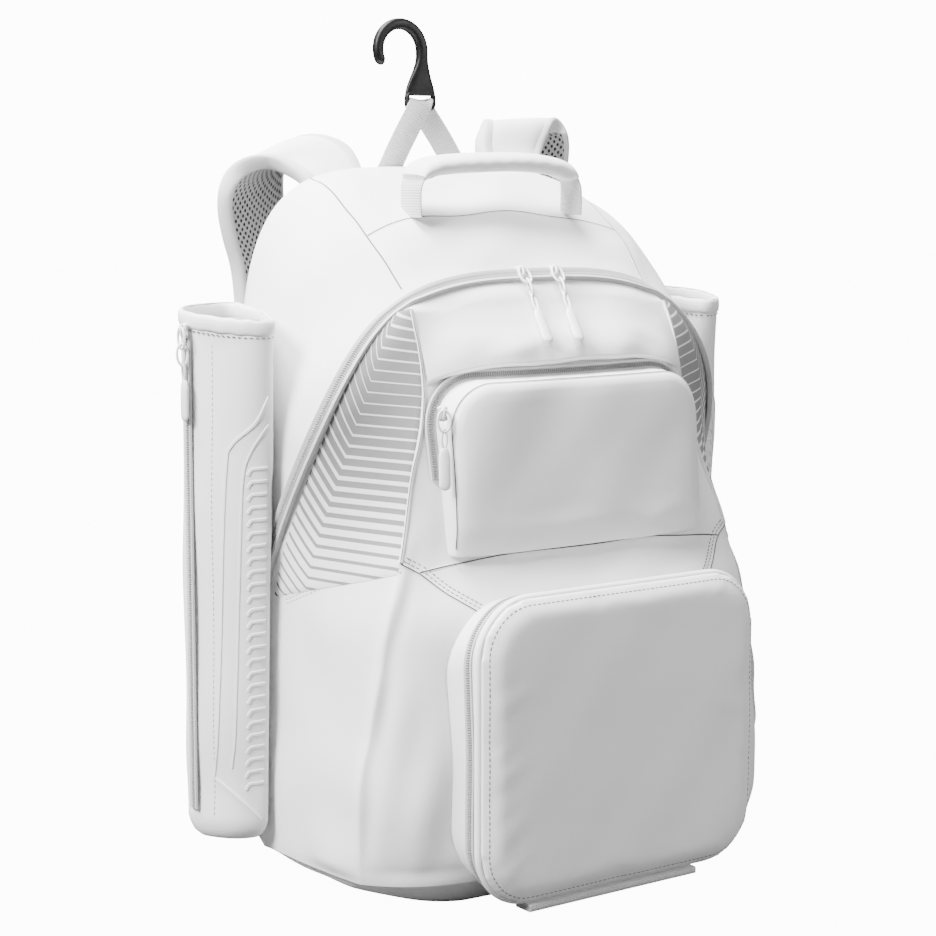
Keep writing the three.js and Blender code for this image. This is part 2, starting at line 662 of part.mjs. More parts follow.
function makeSleeves() {
  const floor = sleeveLow + 14;
  const shrink = (loop, share, z) => {
    const middle = loop.reduce((sum, p) => sum.add(p), vec(0, 0, 0)).divideScalar(loop.length);
    return loop.map((p) => between(p, middle, share).setZ(z));
  };
  const hemLow = sleeveHigh - sleeveHemHeight;
  const below = [0.06, 0.15, 0.3, 0.5, 0.75, 1].map((share) => mix(hemLow, floor, share));
  const levels = [sleeveHigh, hemLow, ...below];
  const outer = [...levels.map((z) => sleeveLoop(z)), shrink(sleeveLoop(floor), 0.16, sleeveLow + 3),
    shrink(sleeveLoop(floor), 0.4, sleeveLow)];
  const inner = [...levels.map((z) => sleeveLoop(z, sleeveWall)),
    shrink(sleeveLoop(floor, sleeveWall), 0.16, sleeveLow + 3 + sleeveWall),
    shrink(sleeveLoop(floor, sleeveWall), 0.4, sleeveLow + sleeveWall)];
  for (const [side, place] of [["left", mirror], ["right", (p) => p.clone()]]) {
    const placed = (rows) => rows.map((row) => row.map(place));
    addWall("bat_sleeve_" + side, placed(outer), placed(inner), white, { ring: true, cap: true });
    const hem = (inset) => [sleeveHigh, hemLow + 1].map((z) => sleeveLoop(z, inset).map(place));
    addWall("sleeve_hem_" + side, hem(-2 * seamGap - hemThick), hem(-2 * seamGap), webbing, { ring: true });
    const x = sleeveHalfSpan + seamGap + zipThick / 2;
    const top = hemLow - 2;
    const path = [vec(x, sleeveEdgeY, top), vec(x, sleeveEdgeY, floor + 6)].map(place);
    const band = path.map((at) => ({ at, across: vec(0, 1, 0), width: zipWidth, thick: zipThick }));
    addLoft("sleeve_zip_" + side, sweep(band), zipCloth);
    const pullX = sleeveHalfSpan + zipThick + 2 * seamGap;
    const sliderAt = vec(pullX + sliderThick / 2, sleeveEdgeY, top - sliderLength);
    addPull("sleeve_pull_" + side, sliderAt, vec(0, 0, -1), vec(1, 0, 0), vec(0, 1, 0), place);
  }
}

// A zip pull: a slider, a short cord and a moulded tab, in one piece. "hang" is the way that it
// hangs, "out" the way that it stands off the zip, both as seen on the right side of the pack.
function addPull(name, at, hang, out, across, place = (p) => p.clone()) {
  const stations = [
    { along: -sliderLength / 2, off: 0, width: sliderWidth, thick: sliderThick },
    { along: sliderLength / 2, off: 0, width: sliderWidth, thick: sliderThick },
    { along: sliderLength / 2 + 1, off: 0.8, width: cordThick * 1.6, thick: cordThick },
    { along: sliderLength / 2 + 18, off: 1.2, width: cordThick * 1.6, thick: cordThick },
    { along: sliderLength / 2 + 20, off: 1.2, width: pullWidth * 0.8, thick: pullThick },
    { along: sliderLength / 2 + 18 + pullLength * 0.8, off: 1.2, width: pullWidth, thick: pullThick },
    { along: sliderLength / 2 + 20 + pullLength * 0.8, off: 1.2, width: pullWidth * 0.6, thick: cordThick },
  ];
  const turned = place(across).sub(place(vec(0, 0, 0)));
  const sections = sweep(stations.map(({ along, off, width, thick }) => {
    const middle = at.clone().addScaledVector(hang, along).addScaledVector(out, off);
    return { at: place(middle), across: turned, width, thick };
  }));
  addLoft(name, sections, whitePlastic);
}

function makePulls() {
  const hang = vec(0, -0.6, -0.8);
  const out = vec(0, -0.8, 0.6);
  for (const [side, x] of [["left", -14], ["right", 16]]) {
    const zip = zipOver(x);
    const at = zip.addScaledVector(out, zipLift + zipThick + sliderThick / 2 + 1).addScaledVector(hang, 1);
    addPull("main_pull_" + side, at, hang, out, vec(1, 0, 0));
  }
  const x = -(pocketHalfWidth + 4.5);
  const z = pocketHigh - pocketCorner - 4;
  const at = vec(x, frontY(x, z) - seatGap - zipThick - 4 * seamGap - sliderThick / 2, z);
  const lean = vec(0, (frontY(x, z - 40) - frontY(x, z)) / 40, -1).normalize();
  addPull("pocket_pull", at, lean, vec(0, -1, 0), vec(1, 0, 0));
}

// Mesh pocket: a loose sheet over the lower right side, open along its top.
function makeMeshPocket() {
  const first = middleColumn + foldShares.length;
  const rows = frontGrid.slice(meshRows[0], meshRows[1] + 1).map((row) => {
    const [fold, middle, edge] = row.slice(first, first + 3);
    return [fold, between(fold, middle, 0.5), middle, between(middle, edge, 0.25)];
  });
  const raised = (extra) => rows.map((row, i) => row.map((p, j) => {
    const inner = i > 0 && j > 0 && j < row.length - 1;
    const normal = gridNormal(rows, i, j);
    if (normal.dot(p.clone().sub(centre)) < 0) normal.negate();
    return p.clone().addScaledVector(normal, (inner ? meshRise : 3 * seamGap) + extra);
  }));
  addWall("mesh_pocket", raised(meshWall), raised(0), padCloth);
}

// Back pad, with rounded edges.
const padBackY = backY + 4 + 2 * seamGap;
function makeBackPad() {
  const steps = [[2, 0], [0, 0.3], [1, 0.7], [7, 1]];
  const sections = steps.map(([inset, share]) => {
    const loop = roundRect(padHalfWidth - inset, padLow + inset, padHigh - inset, padCorner - inset);
    return loop.map(([x, z]) => vec(x, padBackY + padThick * share, z));
  });
  addLoft("back_pad", sections, padCloth);
}

// Shoulder straps: from the top of the back, over and down to their buckles, with webbing below.
function makeStraps() {
  const tailEnd = vec(0.874 * strapSpan, padBackY + webbingThick / 2, edgeRise + 22);
  const edgeLine = (side, lift) => {
    const points = strapEdges.map((row) => {
      const [out, back, drop] = row[side];
      const z = strapPeak - (drop - row.rise * lift) * strapDrop;
      return vec(out * strapSpan, padBackY + back * strapReach, z);
    });
    return new THREE.CatmullRomCurve3(points, false, "centripetal").getPoints(24);
  };
  for (const [side, place, lift] of [["left", mirror, 0], ["right", (p) => p.clone(), 1]]) {
    const outerEdge = edgeLine("outer", lift).map(place);
    const innerEdge = edgeLine("inner", lift).map(place);
    const last = outerEdge.length - 1;
    const stations = outerEdge.map((outer, k) => {
      const across = outer.clone().sub(innerEdge[k]);
      const at = between(outer, innerEdge[k], 0.5).add(vec(0, strapThick / 2, 0));
      return { at, across, width: across.length(), thick: strapThick * (k === last ? 0.6 : 1) };
    });
    addLoft("shoulder_strap_" + side, sweep(stations, 0.5, true), padCloth);
    const { at: end, across } = stations[last];
    const along = end.clone().sub(stations[last - 1].at).normalize();
    const buckleAt = end.clone().addScaledVector(along, buckleHeight / 2 + 2 * seamGap);
    addBuckle("buckle_" + side, buckleAt, along, across);
    const foot = place(tailEnd);
    const tail = [
      buckleAt.clone().addScaledVector(along, buckleHeight / 2 + seamGap),
      between(buckleAt, foot, 0.5).add(vec(0, 2 * webbingThick, 0)),
      foot.clone().add(vec(0, webbingThick, webbingWidth / 2)),
      foot.clone().add(vec(0, 0, -webbingWidth / 3)),
    ];
    const hanging = strapStations(tail, across, webbingWidth, webbingThick, 12);
    addLoft("strap_webbing_" + side, sweep(hanging), webbing);
  }
}

// A ladder buckle: a plate with two slots.
function addBuckle(name, at, along, across) {
  const w = webbingWidth / 2 + 5;
  const h = buckleHeight / 2;
  const outline = [[-w, -h], [w, -h], [w, h], [-w, h]];
  const plate = new THREE.Shape(outline.map(([x, y]) => new THREE.Vector2(x, y)));
  for (const y of [-h * 0.48, h * 0.42]) {
    const hole = [[-w + 5, y - 3], [-w + 5, y + 3], [w - 5, y + 3], [w - 5, y - 3]];
    plate.holes.push(new THREE.Path(hole.map(([a, b]) => new THREE.Vector2(a, b))));
  }
  const geometry = new THREE.ExtrudeGeometry(plate, { depth: buckleThick, bevelEnabled: false });
  geometry.translate(0, 0, -buckleThick / 2);
  const mesh = new THREE.Mesh(geometry, new THREE.MeshStandardMaterial(whitePlastic));
  const side = across.clone().addScaledVector(along, -along.dot(across)).normalize();
  const up = along.clone().negate();
  mesh.quaternion.setFromRotationMatrix(new THREE.Matrix4().makeBasis(side, up, side.clone().cross(up)));
  mesh.position.copy(at);
  mesh.name = name;
  backpack.add(mesh);
}

// Haul handle: a padded grip whose ends are sewn to the top panel.
function makeHandle() {
  const seat = topZ(handleHalfSpan, handleY) + handleThick / 2 + 3;
  const half = [
    vec(handleHalfSpan, handleY, seat),
    vec(handleHalfSpan * 0.9, handleY, seat + handleEase),
    vec(handleHalfSpan * 0.62, handleY, handleTop - 2 * handleThick),
    vec(handleHalfSpan * 0.3, handleY, handleTop - 0.7 * handleThick),
  ];
  const line = [...half.map(mirror), vec(0, handleY, handleTop - handleThick / 2), ...half.reverse()];
  const slope = (topZ(handleHalfSpan, handleY + 8) - topZ(handleHalfSpan, handleY - 8)) / 16;
  const across = vec(0, 1, slope);
  addLoft("haul_handle", sweep(strapStations(line, across, handleWidth, handleThick, 16)), webbing);
}

// Hanging loop: webbing from the back's top seam, folded over the bar of a plastic hook.
const hangX = -8;
const hangY = backY + loopThick + 3 * seamGap + 1.6;
function makeHangingLoop() {
  const foot = bodyHeight - loopDrop;
  const half = [vec(loopHalfSpan, 0, foot), vec(loopHalfSpan * 0.64, 0, mix(foot, loopTop, 0.36)),
    vec(loopHalfSpan * 0.32, 0, mix(foot, loopTop, 0.68))];
  const apex = vec(hangX, hangY, loopTop - loopWidth * 0.35);
  const place = (p, sign) => vec(hangX + sign * p.x, hangY, p.z);
  const line = [...half.map((p) => place(p, -1)), apex, ...half.map((p) => place(p, 1)).reverse()];
  const curve = new THREE.CatmullRomCurve3(line, false, "centripetal");
  const stations = curve.getSpacedPoints(14).map((at, k, all) => {
    const ahead = all[Math.min(k + 1, all.length - 1)].clone().sub(all[Math.max(k - 1, 0)]).normalize();
    const width = loopWidth * (1 - 0.3 * (1 - Math.abs(k / 7 - 1)) ** 2);
    return { at, across: vec(-ahead.z, 0, ahead.x), width, thick: loopThick };
  });
  addLoft("hanging_loop", sweep(stations), webbing);
}

function makeHook() {
  const base = loopTop + 2 * seamGap;
  const top = base + hookHeight - hookThick / 2;
  const shank = hookThick * 0.2;
  const stations = [
    { x: 0, z: base, width: hookBar }, { x: 0, z: base + hookThick * 0.6, width: hookBar * 0.96 },
    { x: shank * 0.3, z: base + hookThick * 1.6, width: hookThick * 2 },
    { x: shank * 0.7, z: base + hookThick * 3, width: hookThick * 1.3 },
    { x: shank, z: top - hookBend, width: hookThick },
  ];
  for (let k = 1; k <= 7; k += 1) {
    const angle = (Math.PI * 1.14 * k) / 7;
    const radius = hookBend * (1 - 0.12 * (k / 7) ** 3);
    const x = shank - hookBend + radius * Math.cos(angle);
    stations.push({ x, z: top - hookBend + radius * Math.sin(angle), width: hookThick });
  }
  const sections = sweep(stations.map(({ x, z, width }, k) => {
    const before = stations[Math.max(k - 1, 0)];
    const after = stations[Math.min(k + 1, stations.length - 1)];
    const across = vec(-(after.z - before.z), 0, after.x - before.x);
    return { at: vec(hangX + x, hangY, z), across, width, thick: hookThick };
  }), 0.5);
  addLoft("hook", sections, blackPlastic);
}

makeBodyShell();
makeFrontPanel();
makeMainZip();
makeChevrons();
makeUpperPocket();
makePocketZip();
makePocketHood();
makeCompartment();
makeFlap();
makeBottomTab();
makeSleeves();
makePulls();
makeMeshPocket();
makeBackPad();
makeStraps();
makeHandle();
makeHangingLoop();
makeHook();

export default backpack;
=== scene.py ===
import math
import bmesh
import bpy
import numpy as np
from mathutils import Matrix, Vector
from mathutils.bvhtree import BVHTree


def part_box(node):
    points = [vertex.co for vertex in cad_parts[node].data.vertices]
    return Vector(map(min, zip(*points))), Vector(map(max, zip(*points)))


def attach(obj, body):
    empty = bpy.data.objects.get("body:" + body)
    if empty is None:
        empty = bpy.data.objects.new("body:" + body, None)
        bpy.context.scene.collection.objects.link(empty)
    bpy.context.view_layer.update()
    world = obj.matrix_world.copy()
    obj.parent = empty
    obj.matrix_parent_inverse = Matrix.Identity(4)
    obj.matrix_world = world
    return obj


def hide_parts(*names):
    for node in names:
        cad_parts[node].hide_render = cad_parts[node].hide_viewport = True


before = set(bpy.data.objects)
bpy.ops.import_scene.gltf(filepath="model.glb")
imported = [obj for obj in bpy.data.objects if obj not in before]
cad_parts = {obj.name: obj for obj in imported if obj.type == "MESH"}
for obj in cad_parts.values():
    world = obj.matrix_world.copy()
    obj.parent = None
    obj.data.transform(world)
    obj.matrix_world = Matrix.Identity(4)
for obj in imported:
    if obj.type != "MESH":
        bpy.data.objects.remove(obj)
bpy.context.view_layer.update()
scene = bpy.context.scene

# Camera, light and floor. A lamp: place in metres, size in metres, power in watts.
camera = {"place": (-1.0146, -1.3293, 0.512), "tilt": 82.4, "turn": -36.0, "lens": 88.46}
light = {
    "key": ((-1.9, -0.2, 1.75), 0.8, 188),
    "top": ((-0.45, 0.3, 2.1), 0.9, 215),
    "fill": ((1.9, -2.3, 1.3), 1.6, 52),
    "back": ((0.8, 2.4, 1.8), 1.8, 60),
    "sky": 0.34, "backdrop": 13.0, "floor": 12.5,
}


def makeStage():
    data = bpy.data.cameras.new("camera")
    data.lens = camera["lens"]
    data.sensor_width = 36.0
    data.clip_start = 0.05
    eye = bpy.data.objects.new("camera", data)
    eye.location = camera["place"]
    eye.rotation_euler = (math.radians(camera["tilt"]), 0.0, math.radians(camera["turn"]))
    scene.collection.objects.link(eye)
    scene.camera = eye
    for name in ("key", "top", "fill", "back"):
        place, size, power = light[name]
        lamp = bpy.data.lights.new(name, "AREA")
        lamp.size = size
        lamp.energy = power
        holder = bpy.data.objects.new(name, lamp)
        holder.location = place
        aim = Vector((0.0, 0.0, 0.28)) - Vector(place)
        holder.rotation_euler = aim.to_track_quat("-Z", "Y").to_euler()
        scene.collection.objects.link(holder)
    world = bpy.data.worlds.new("studio")
    world.use_nodes = True
    backdrop = world.node_tree.nodes["Background"]
    backdrop.inputs["Color"].default_value = (1.0, 1.0, 1.0, 1.0)
    seen = world.node_tree.nodes.new("ShaderNodeLightPath").outputs["Is Camera Ray"]
    world.node_tree.links.new(remap(world.node_tree, seen, 0, 1, light["sky"], light["backdrop"], False),
                              backdrop.inputs["Strength"])
    scene.world = world
    floorMaterial = bpy.data.materials.new("paleFloor")
    floorMaterial.use_nodes = True
    shader = floorMaterial.node_tree.nodes["Principled BSDF"]
    shader.inputs["Base Color"].default_value = (0.05, 0.05, 0.05, 1.0)
    shader.inputs["Emission Color"].default_value = (1.0, 1.0, 1.0, 1.0)
    shader.inputs["Roughness"].default_value = 0.8
    floorTree = floorMaterial.node_tree
    seen = floorTree.nodes.new("ShaderNodeLightPath").outputs["Is Camera Ray"]
    floorTree.links.new(remap(floorTree, seen, 0, 1, 0, light["floor"], False),
                        shader.inputs["Emission Strength"])
    mesh = bpy.data.meshes.new("floor")
    mesh.from_pydata([(-9, -9, 0), (9, -9, 0), (9, 9, 0), (-9, 9, 0)], [], [(0, 1, 2, 3)])
    mesh.materials.append(floorMaterial)
    floor = bpy.data.objects.new("floor", mesh)
    scene.collection.objects.link(floor)


# Small tools. Points are in millimetres throughout, and meshPiece turns them into metres.


def mix(a, b, t):  # a + (b - a) t
    return a + (b - a) * t


def ease(t):  # 3t^2 - 2t^3 between 0 and 1
    t = np.clip(t, 0.0, 1.0)
    return t * t * (3.0 - 2.0 * t)


def unit(v):  # each vector over its own length
    return v / np.maximum(np.linalg.norm(v, axis=-1, keepdims=True), 1e-9)


# A smooth line through the points (Catmull-Rom cubic), read at t from 0 to the last index.
def spline(points, t):
    p = np.asarray(points, float)
    p = np.vstack([2 * p[0] - p[1], p, 2 * p[-1] - p[-2]])
    i = np.clip(np.floor(t).astype(int), 0, len(p) - 4)
    f = (t - i)[:, None]
    a, b, c, d = p[i], p[i + 1], p[i + 2], p[i + 3]
    return 0.5 * (2 * b + (c - a) * f + (2 * a - 5 * b + 4 * c - d) * f ** 2
                  + (3 * b - a - 3 * c + d) * f ** 3)


def lengthAlong(line):  # length from the start to each point
    return np.concatenate([[0.0], np.cumsum(np.linalg.norm(np.diff(line, axis=0), axis=1))])


# The same line again in equal steps of its length; more arrays may be carried along with it.
def evenly(line, count, *others):
    along = lengthAlong(line)
    want = np.linspace(0.0, along[-1], count)
    read = lambda a: np.stack([np.interp(want, along, a[:, k]) for k in range(a.shape[1])], 1)
    return read(line) if not others else (read(line), *[read(o) for o in others])


def smoothPath(points, count):  # the spline through a few points, in equal steps
    return evenly(spline(points, np.linspace(0, len(points) - 1, 30 * len(points))), count)


# Normals of a grid of points: the cross product of its two directions.
def gridNormals(grid, wrap=False):
    side = np.roll(grid, -1, 1) - np.roll(grid, 1, 1) if wrap else np.gradient(grid, axis=1)
    return unit(np.cross(side, np.gradient(grid, axis=0)))


# A grid read between its rows and columns.
def readGrid(grid, at):
    rows, columns = grid.shape[:2]
    r = np.clip(at[:, 0], 0, rows - 1.001)
    c = np.clip(at[:, 1], 0, columns - 1.001)
    i, j = r.astype(int), c.astype(int)
    a, b = (r - i)[:, None], (c - j)[:, None]
    return mix(mix(grid[i, j], grid[i, j + 1], b), mix(grid[i + 1, j], grid[i + 1, j + 1], b), a)


# A line that lies on a grid and passes near the given points, with the grid's normals along it.
def lineOn(grid, points, step, out):
    flat = grid.reshape(-1, 3)
    nearest = np.array([np.argmin(((flat - p) ** 2).sum(1)) for p in np.asarray(points, float)])
    cells = np.stack([nearest // grid.shape[1], nearest % grid.shape[1]], 1).astype(float)
    track = spline(cells, np.linspace(0, len(cells) - 1, 30 * len(cells)))
    line, normals = readGrid(grid, track), readGrid(gridNormals(grid) * out, track)
    count = max(4, int(lengthAlong(line)[-1] / step))
    line, normals = evenly(line, count, normals)
    return line, unit(normals)


# Soft unevenness of cloth: a sum of slow waves through space, the same on every run.
waves = np.random.default_rng(11)
waveTurn = unit(waves.normal(size=(14, 3))) * (2 * math.pi / waves.uniform(46, 150, (14, 1)))
wavePhase = waves.uniform(0, 6.28, 14)


def rumple(points, size, stretch=(1.0, 1.0, 1.0), seed=0.0):
    shifted = points * np.array(stretch)
    return size * np.sin(shifted @ waveTurn.T + wavePhase + seed).sum(-1) / 3.4


# A mesh from points and faces, smooth but for edges sharper than "sharp" radians.
def meshPiece(name, points, faces, cornerUv=None, sharp=0.9):
    mesh = bpy.data.meshes.new(name)
    mesh.from_pydata((np.asarray(points) * 0.001).tolist(), [], [tuple(f) for f in faces])
    if cornerUv is not None:
        layer = mesh.uv_layers.new(name="UVMap")
        layer.data.foreach_set("uv", np.asarray(cornerUv, np.float32).ravel())
    mesh.polygons.foreach_set("use_smooth", np.ones(len(mesh.polygons), bool))
    mesh.validate()
    mesh.update()
    mesh.set_sharp_from_angle(angle=sharp)
    piece = bpy.data.objects.new(name, mesh)
    scene.collection.objects.link(piece)
    return piece


def turnOutward(piece):  # welds the points of closed seams and turns all faces outward
    work = bmesh.new()
    work.from_mesh(piece.data)
    bmesh.ops.remove_doubles(work, verts=work.verts, dist=1e-6)
    bmesh.ops.recalc_face_normals(work, faces=work.faces)
    work.to_mesh(piece.data)
    work.free()


# Material, body and the solids that the piece stands for.
def dress(piece, material, replaces=()):
    piece.data.materials.clear()
    piece.data.materials.append(material)
    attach(piece, "root")
    if replaces:
        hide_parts(*replaces)
    return piece


# Faces of a grid, row by row; "wrap" joins its last column to its first.
def gridFaces(rows, columns, wrap=False):
    r = np.arange(rows - 1)[:, None]
    c = np.arange(columns if wrap else columns - 1)[None]
    a = r * columns + c
    b = r * columns + (c + 1) % columns
    return np.stack([a, b, b + columns, a + columns], -1).reshape(-1, 4)


# A grid of points as a mesh, with a UV map in metres of its own lengths. "caps" closes its ends,
# "outFrom" is a point behind it, from which its faces look away.
def gridPiece(name, grid, wrap=False, caps=False, outFrom=None, sharp=0.9):
    rows, columns = grid.shape[:2]
    around = np.concatenate([grid, grid[:, :1]], 1) if wrap else grid
    u = np.concatenate([np.zeros((rows, 1)),
                        np.cumsum(np.linalg.norm(np.diff(around, axis=1), axis=2), 1)], 1)
    v = np.concatenate([np.zeros((1, around.shape[1])),
                        np.cumsum(np.linalg.norm(np.diff(around, axis=0), axis=2), 0)], 0)
    uv = np.stack([u - u.mean(1, keepdims=True), v], -1) * 0.001
    faces = gridFaces(rows, columns, wrap)
    a = (np.arange(rows - 1)[:, None] * around.shape[1] + np.arange(around.shape[1] - 1)[None]).reshape(-1)
    corners = np.stack([a, a + 1, a + 1 + around.shape[1], a + around.shape[1]], -1)
    cornerUv = uv.reshape(-1, 2)[corners]
    points = grid.reshape(-1, 3)
    middle = points[faces].mean(1)
    normal = np.cross(points[faces[:, 2]] - points[faces[:, 0]], points[faces[:, 3]] - points[faces[:, 1]])
    behind = points.mean(0) if outFrom is None else np.array(outFrom, float)
    turned = ((middle - behind) * normal).sum() < 0
    if turned:
        faces, cornerUv = faces[:, ::-1], cornerUv[:, ::-1]
    faces = [tuple(f) for f in faces.tolist()]
    cornerUv = cornerUv.reshape(-1, 2)
    if caps:
        first, last = list(range(columns)), list(range((rows - 1) * columns, rows * columns))
        faces += [tuple(first if turned else first[::-1]), tuple(last[::-1] if turned else last)]
        cornerUv = np.concatenate([cornerUv, np.zeros((2 * columns, 2))])
    return meshPiece(name, points, faces, cornerUv, sharp)


# A profile (across, up) carried along a line: each of its points is line + side * across + normal * up.
def carry(line, normals, profile):
    tangent = unit(np.gradient(line, axis=0))
    side = unit(np.cross(tangent, normals))
    up = unit(np.cross(side, tangent))
    profile = np.asarray(profile, float)
    return line[:, None] + side[:, None] * profile[None, :, :1] + up[:, None] * profile[None, :, 1:]


# A round or oval rod along a line.
def rod(line, across, width, thick, sides=12):
    angle = np.linspace(0, 2 * math.pi, sides, endpoint=False)
    tangent = unit(np.gradient(line, axis=0))
    across = np.broadcast_to(np.asarray(across, float), line.shape)
    side = unit(across - tangent * (across * tangent).sum(1, keepdims=True))
    up = np.cross(tangent, side)
    w = np.broadcast_to(np.asarray(width, float), len(line))[:, None, None] / 2
    t = np.broadcast_to(np.asarray(thick, float), len(line))[:, None, None] / 2
    return (line[:, None] + side[:, None] * (np.cos(angle)[None, :, None] * w)
            + up[:, None] * (np.sin(angle)[None, :, None] * t))


def joined(parts):  # several (points, faces) as one
    points, faces, start = [], [], 0
    for p, f in parts:
        points.append(p.reshape(-1, 3))
        faces.append(np.asarray(f) + start)
        start += len(points[-1])
    return np.concatenate(points), np.concatenate(faces)


# Small rounded bars set out along a line: stitches, or the teeth of a zip. A bar is a half-round
# section carried over its own length, closed to a point at both ends.
def barsAlong(line, normals, pitch, long, wide, high, turn=0.0, shift=0.0, sink=0.1):
    along = lengthAlong(line)
    want = np.arange(pitch / 2, along[-1], pitch)
    read = lambda a: np.stack([np.interp(want, along, a[:, k]) for k in range(3)], 1)
    at, normal, tangent = read(line), unit(read(normals)), unit(read(np.gradient(line, axis=0)))
    side = unit(np.cross(tangent, normal))
    ahead = unit(tangent * math.cos(turn) + side * math.sin(turn))
    beside = unit(np.cross(ahead, normal))
    ends = np.array([[-0.5, 0.05], [-0.36, 1.0], [0.36, 1.0], [0.5, 0.05]])
    half = np.array([[-0.5, -0.2], [-0.36, 0.7], [0.0, 1.0], [0.36, 0.7], [0.5, -0.2]])
    a = (ends[:, 0] * long)[:, None, None]
    grow = ends[:, 1][:, None, None]
    shape = lambda k: half[:, k][None, :, None] * grow
    bars = ((at + side * shift)[:, None, None] + ahead[:, None, None] * a
            + beside[:, None, None] * shape(0) * wide
            + normal[:, None, None] * (shape(1) * high - sink))
    one = gridFaces(4, 5)
    faces = (one[None] + (np.arange(len(want)) * 20)[:, None, None]).reshape(-1, 4)
    return bars.reshape(-1, 3), faces


# Gives a socket its value: a link from another socket, or a number.
def feed(tree, socket, value):
    if isinstance(value, bpy.types.NodeSocket):
        tree.links.new(value, socket)
    else:
        socket.default_value = value


def addNode(tree, kind, **inputs):  # a node, with its sockets or its own properties filled by name
    node = tree.nodes.new(kind)
    for key, value in inputs.items():
        if key in ("voronoi_dimensions", "uv_map"):
            setattr(node, key, value)
        else:
            feed(tree, node.inputs[key], value)
    return node


def calc(tree, operation, a, b=0.0):  # a Math node: a + b, a - b and so on
    node = tree.nodes.new("ShaderNodeMath")
    node.operation = operation
    feed(tree, node.inputs[0], a)
    feed(tree, node.inputs[1], b)
    return node.outputs[0]


# Carries low..high over to toLow..toHigh, in a straight line or with a soft start and end.
def remap(tree, value, low, high, toLow=0.0, toHigh=1.0, soft=True):
    node = tree.nodes.new("ShaderNodeMapRange")
    node.interpolation_type = "SMOOTHSTEP" if soft else "LINEAR"
    tree.links.new(value, node.inputs["Value"])
    for key, number in (("From Min", low), ("From Max", high), ("To Min", toLow), ("To Max", toHigh)):
        node.inputs[key].default_value = number
    return node.outputs["Result"]


def blendColor(tree, factor, a, b, kind="MIX"):  # a mixed with b, or a times b, by the factor
    node = tree.nodes.new("ShaderNodeMix")
    node.data_type = "RGBA"
    node.blend_type = kind
    for index, value in ((0, factor), (6, a), (7, b)):  # its Factor, A and B for colours
        feed(tree, node.inputs[index], value)
    return node.outputs[2]


def startGroup(name, inputs, outputs):  # an empty node group with its sockets
    group = bpy.data.node_groups.new(name, "ShaderNodeTree")
    for label, kind, value in inputs:
        socket = group.interface.new_socket(label, in_out="INPUT", socket_type=kind)
        socket.default_value = value
    for label, kind in outputs:
        group.interface.new_socket(label, in_out="OUTPUT", socket_type=kind)
    return group, group.nodes.new("NodeGroupInput"), group.nodes.new("NodeGroupOutput")


# Woven threads: two crossed sine waves on the cloth's UV map, over and under by turns.
def makeWeaveGroup():
    group, given, result = startGroup("wovenThreads", [
        ("Thread", "NodeSocketFloat", 0.7), ("Slub", "NodeSocketFloat", 0.2)],
        [("Height", "NodeSocketFloat"), ("Shade", "NodeSocketFloat")])
    place = addNode(group, "ShaderNodeUVMap")
    split = addNode(group, "ShaderNodeSeparateXYZ", Vector=place.outputs["UV"])
    turns = calc(group, "DIVIDE", 3141.6, given.outputs["Thread"])
    warp = calc(group, "ABSOLUTE", calc(group, "SINE", calc(group, "MULTIPLY", split.outputs["X"], turns)))
    weft = calc(group, "ABSOLUTE", calc(group, "SINE", calc(group, "MULTIPLY", split.outputs["Y"], turns)))
    both = calc(group, "MULTIPLY", calc(group, "ADD", warp, weft), 0.5)
    cloud = addNode(group, "ShaderNodeTexNoise", Vector=place.outputs["UV"], Scale=260.0, Detail=3.0)
    uneven = calc(group, "MULTIPLY", cloud.outputs["Fac"], given.outputs["Slub"])
    group.links.new(calc(group, "ADD", both, uneven), result.inputs["Height"])
    group.links.new(both, result.inputs["Shade"])
    return group


# Slow cloudiness and faint handling marks of pale cloth, on Object coordinates.
def makeCloudGroup():
    group, given, result = startGroup("clothCloud", [
        ("Amount", "NodeSocketFloat", 0.04)], [("Tint", "NodeSocketFloat"), ("Dents", "NodeSocketFloat")])
    place = addNode(group, "ShaderNodeTexCoord")
    slow = addNode(group, "ShaderNodeTexNoise", Vector=place.outputs["Object"], Scale=9.0, Detail=4.0,
                   Roughness=0.6)
    fine = addNode(group, "ShaderNodeTexNoise", Vector=place.outputs["Object"], Scale=70.0, Detail=5.0,
                   Roughness=0.55)
    swing = calc(group, "MULTIPLY", calc(group, "SUBTRACT", slow.outputs["Fac"], 0.5),
                 given.outputs["Amount"])
    speck = calc(group, "MULTIPLY", calc(group, "SUBTRACT", fine.outputs["Fac"], 0.5), calc(
        group, "MULTIPLY", given.outputs["Amount"], 0.5))
    group.links.new(calc(group, "ADD", 1.0, calc(group, "ADD", swing, speck)), result.inputs["Tint"])
    group.links.new(fine.outputs["Fac"], result.inputs["Dents"])
    return group


weaveGroup = makeWeaveGroup()
cloudGroup = makeCloudGroup()


def useGroup(tree, group, **inputs):  # a copy of a group inside a material
    node = tree.nodes.new("ShaderNodeGroup")
    node.node_tree = group
    for key, value in inputs.items():
        node.inputs[key].default_value = value
    return node


# A material whose sheen, gloss of the surface and coat are plain numbers.
def startMaterial(name, roughness, sheen=0.0, specular=0.35, coat=0.0):
    material = bpy.data.materials.new(name)
    material.use_nodes = True
    tree = material.node_tree
    shader = tree.nodes["Principled BSDF"]
    shader.inputs["Roughness"].default_value = roughness
    shader.inputs["Sheen Weight"].default_value = sheen
    shader.inputs["Sheen Roughness"].default_value = 0.4
    shader.inputs["Specular IOR Level"].default_value = specular
    shader.inputs["Coat Weight"].default_value = coat
    shader.inputs["Coat Roughness"].default_value = 0.25
    return material, tree, shader


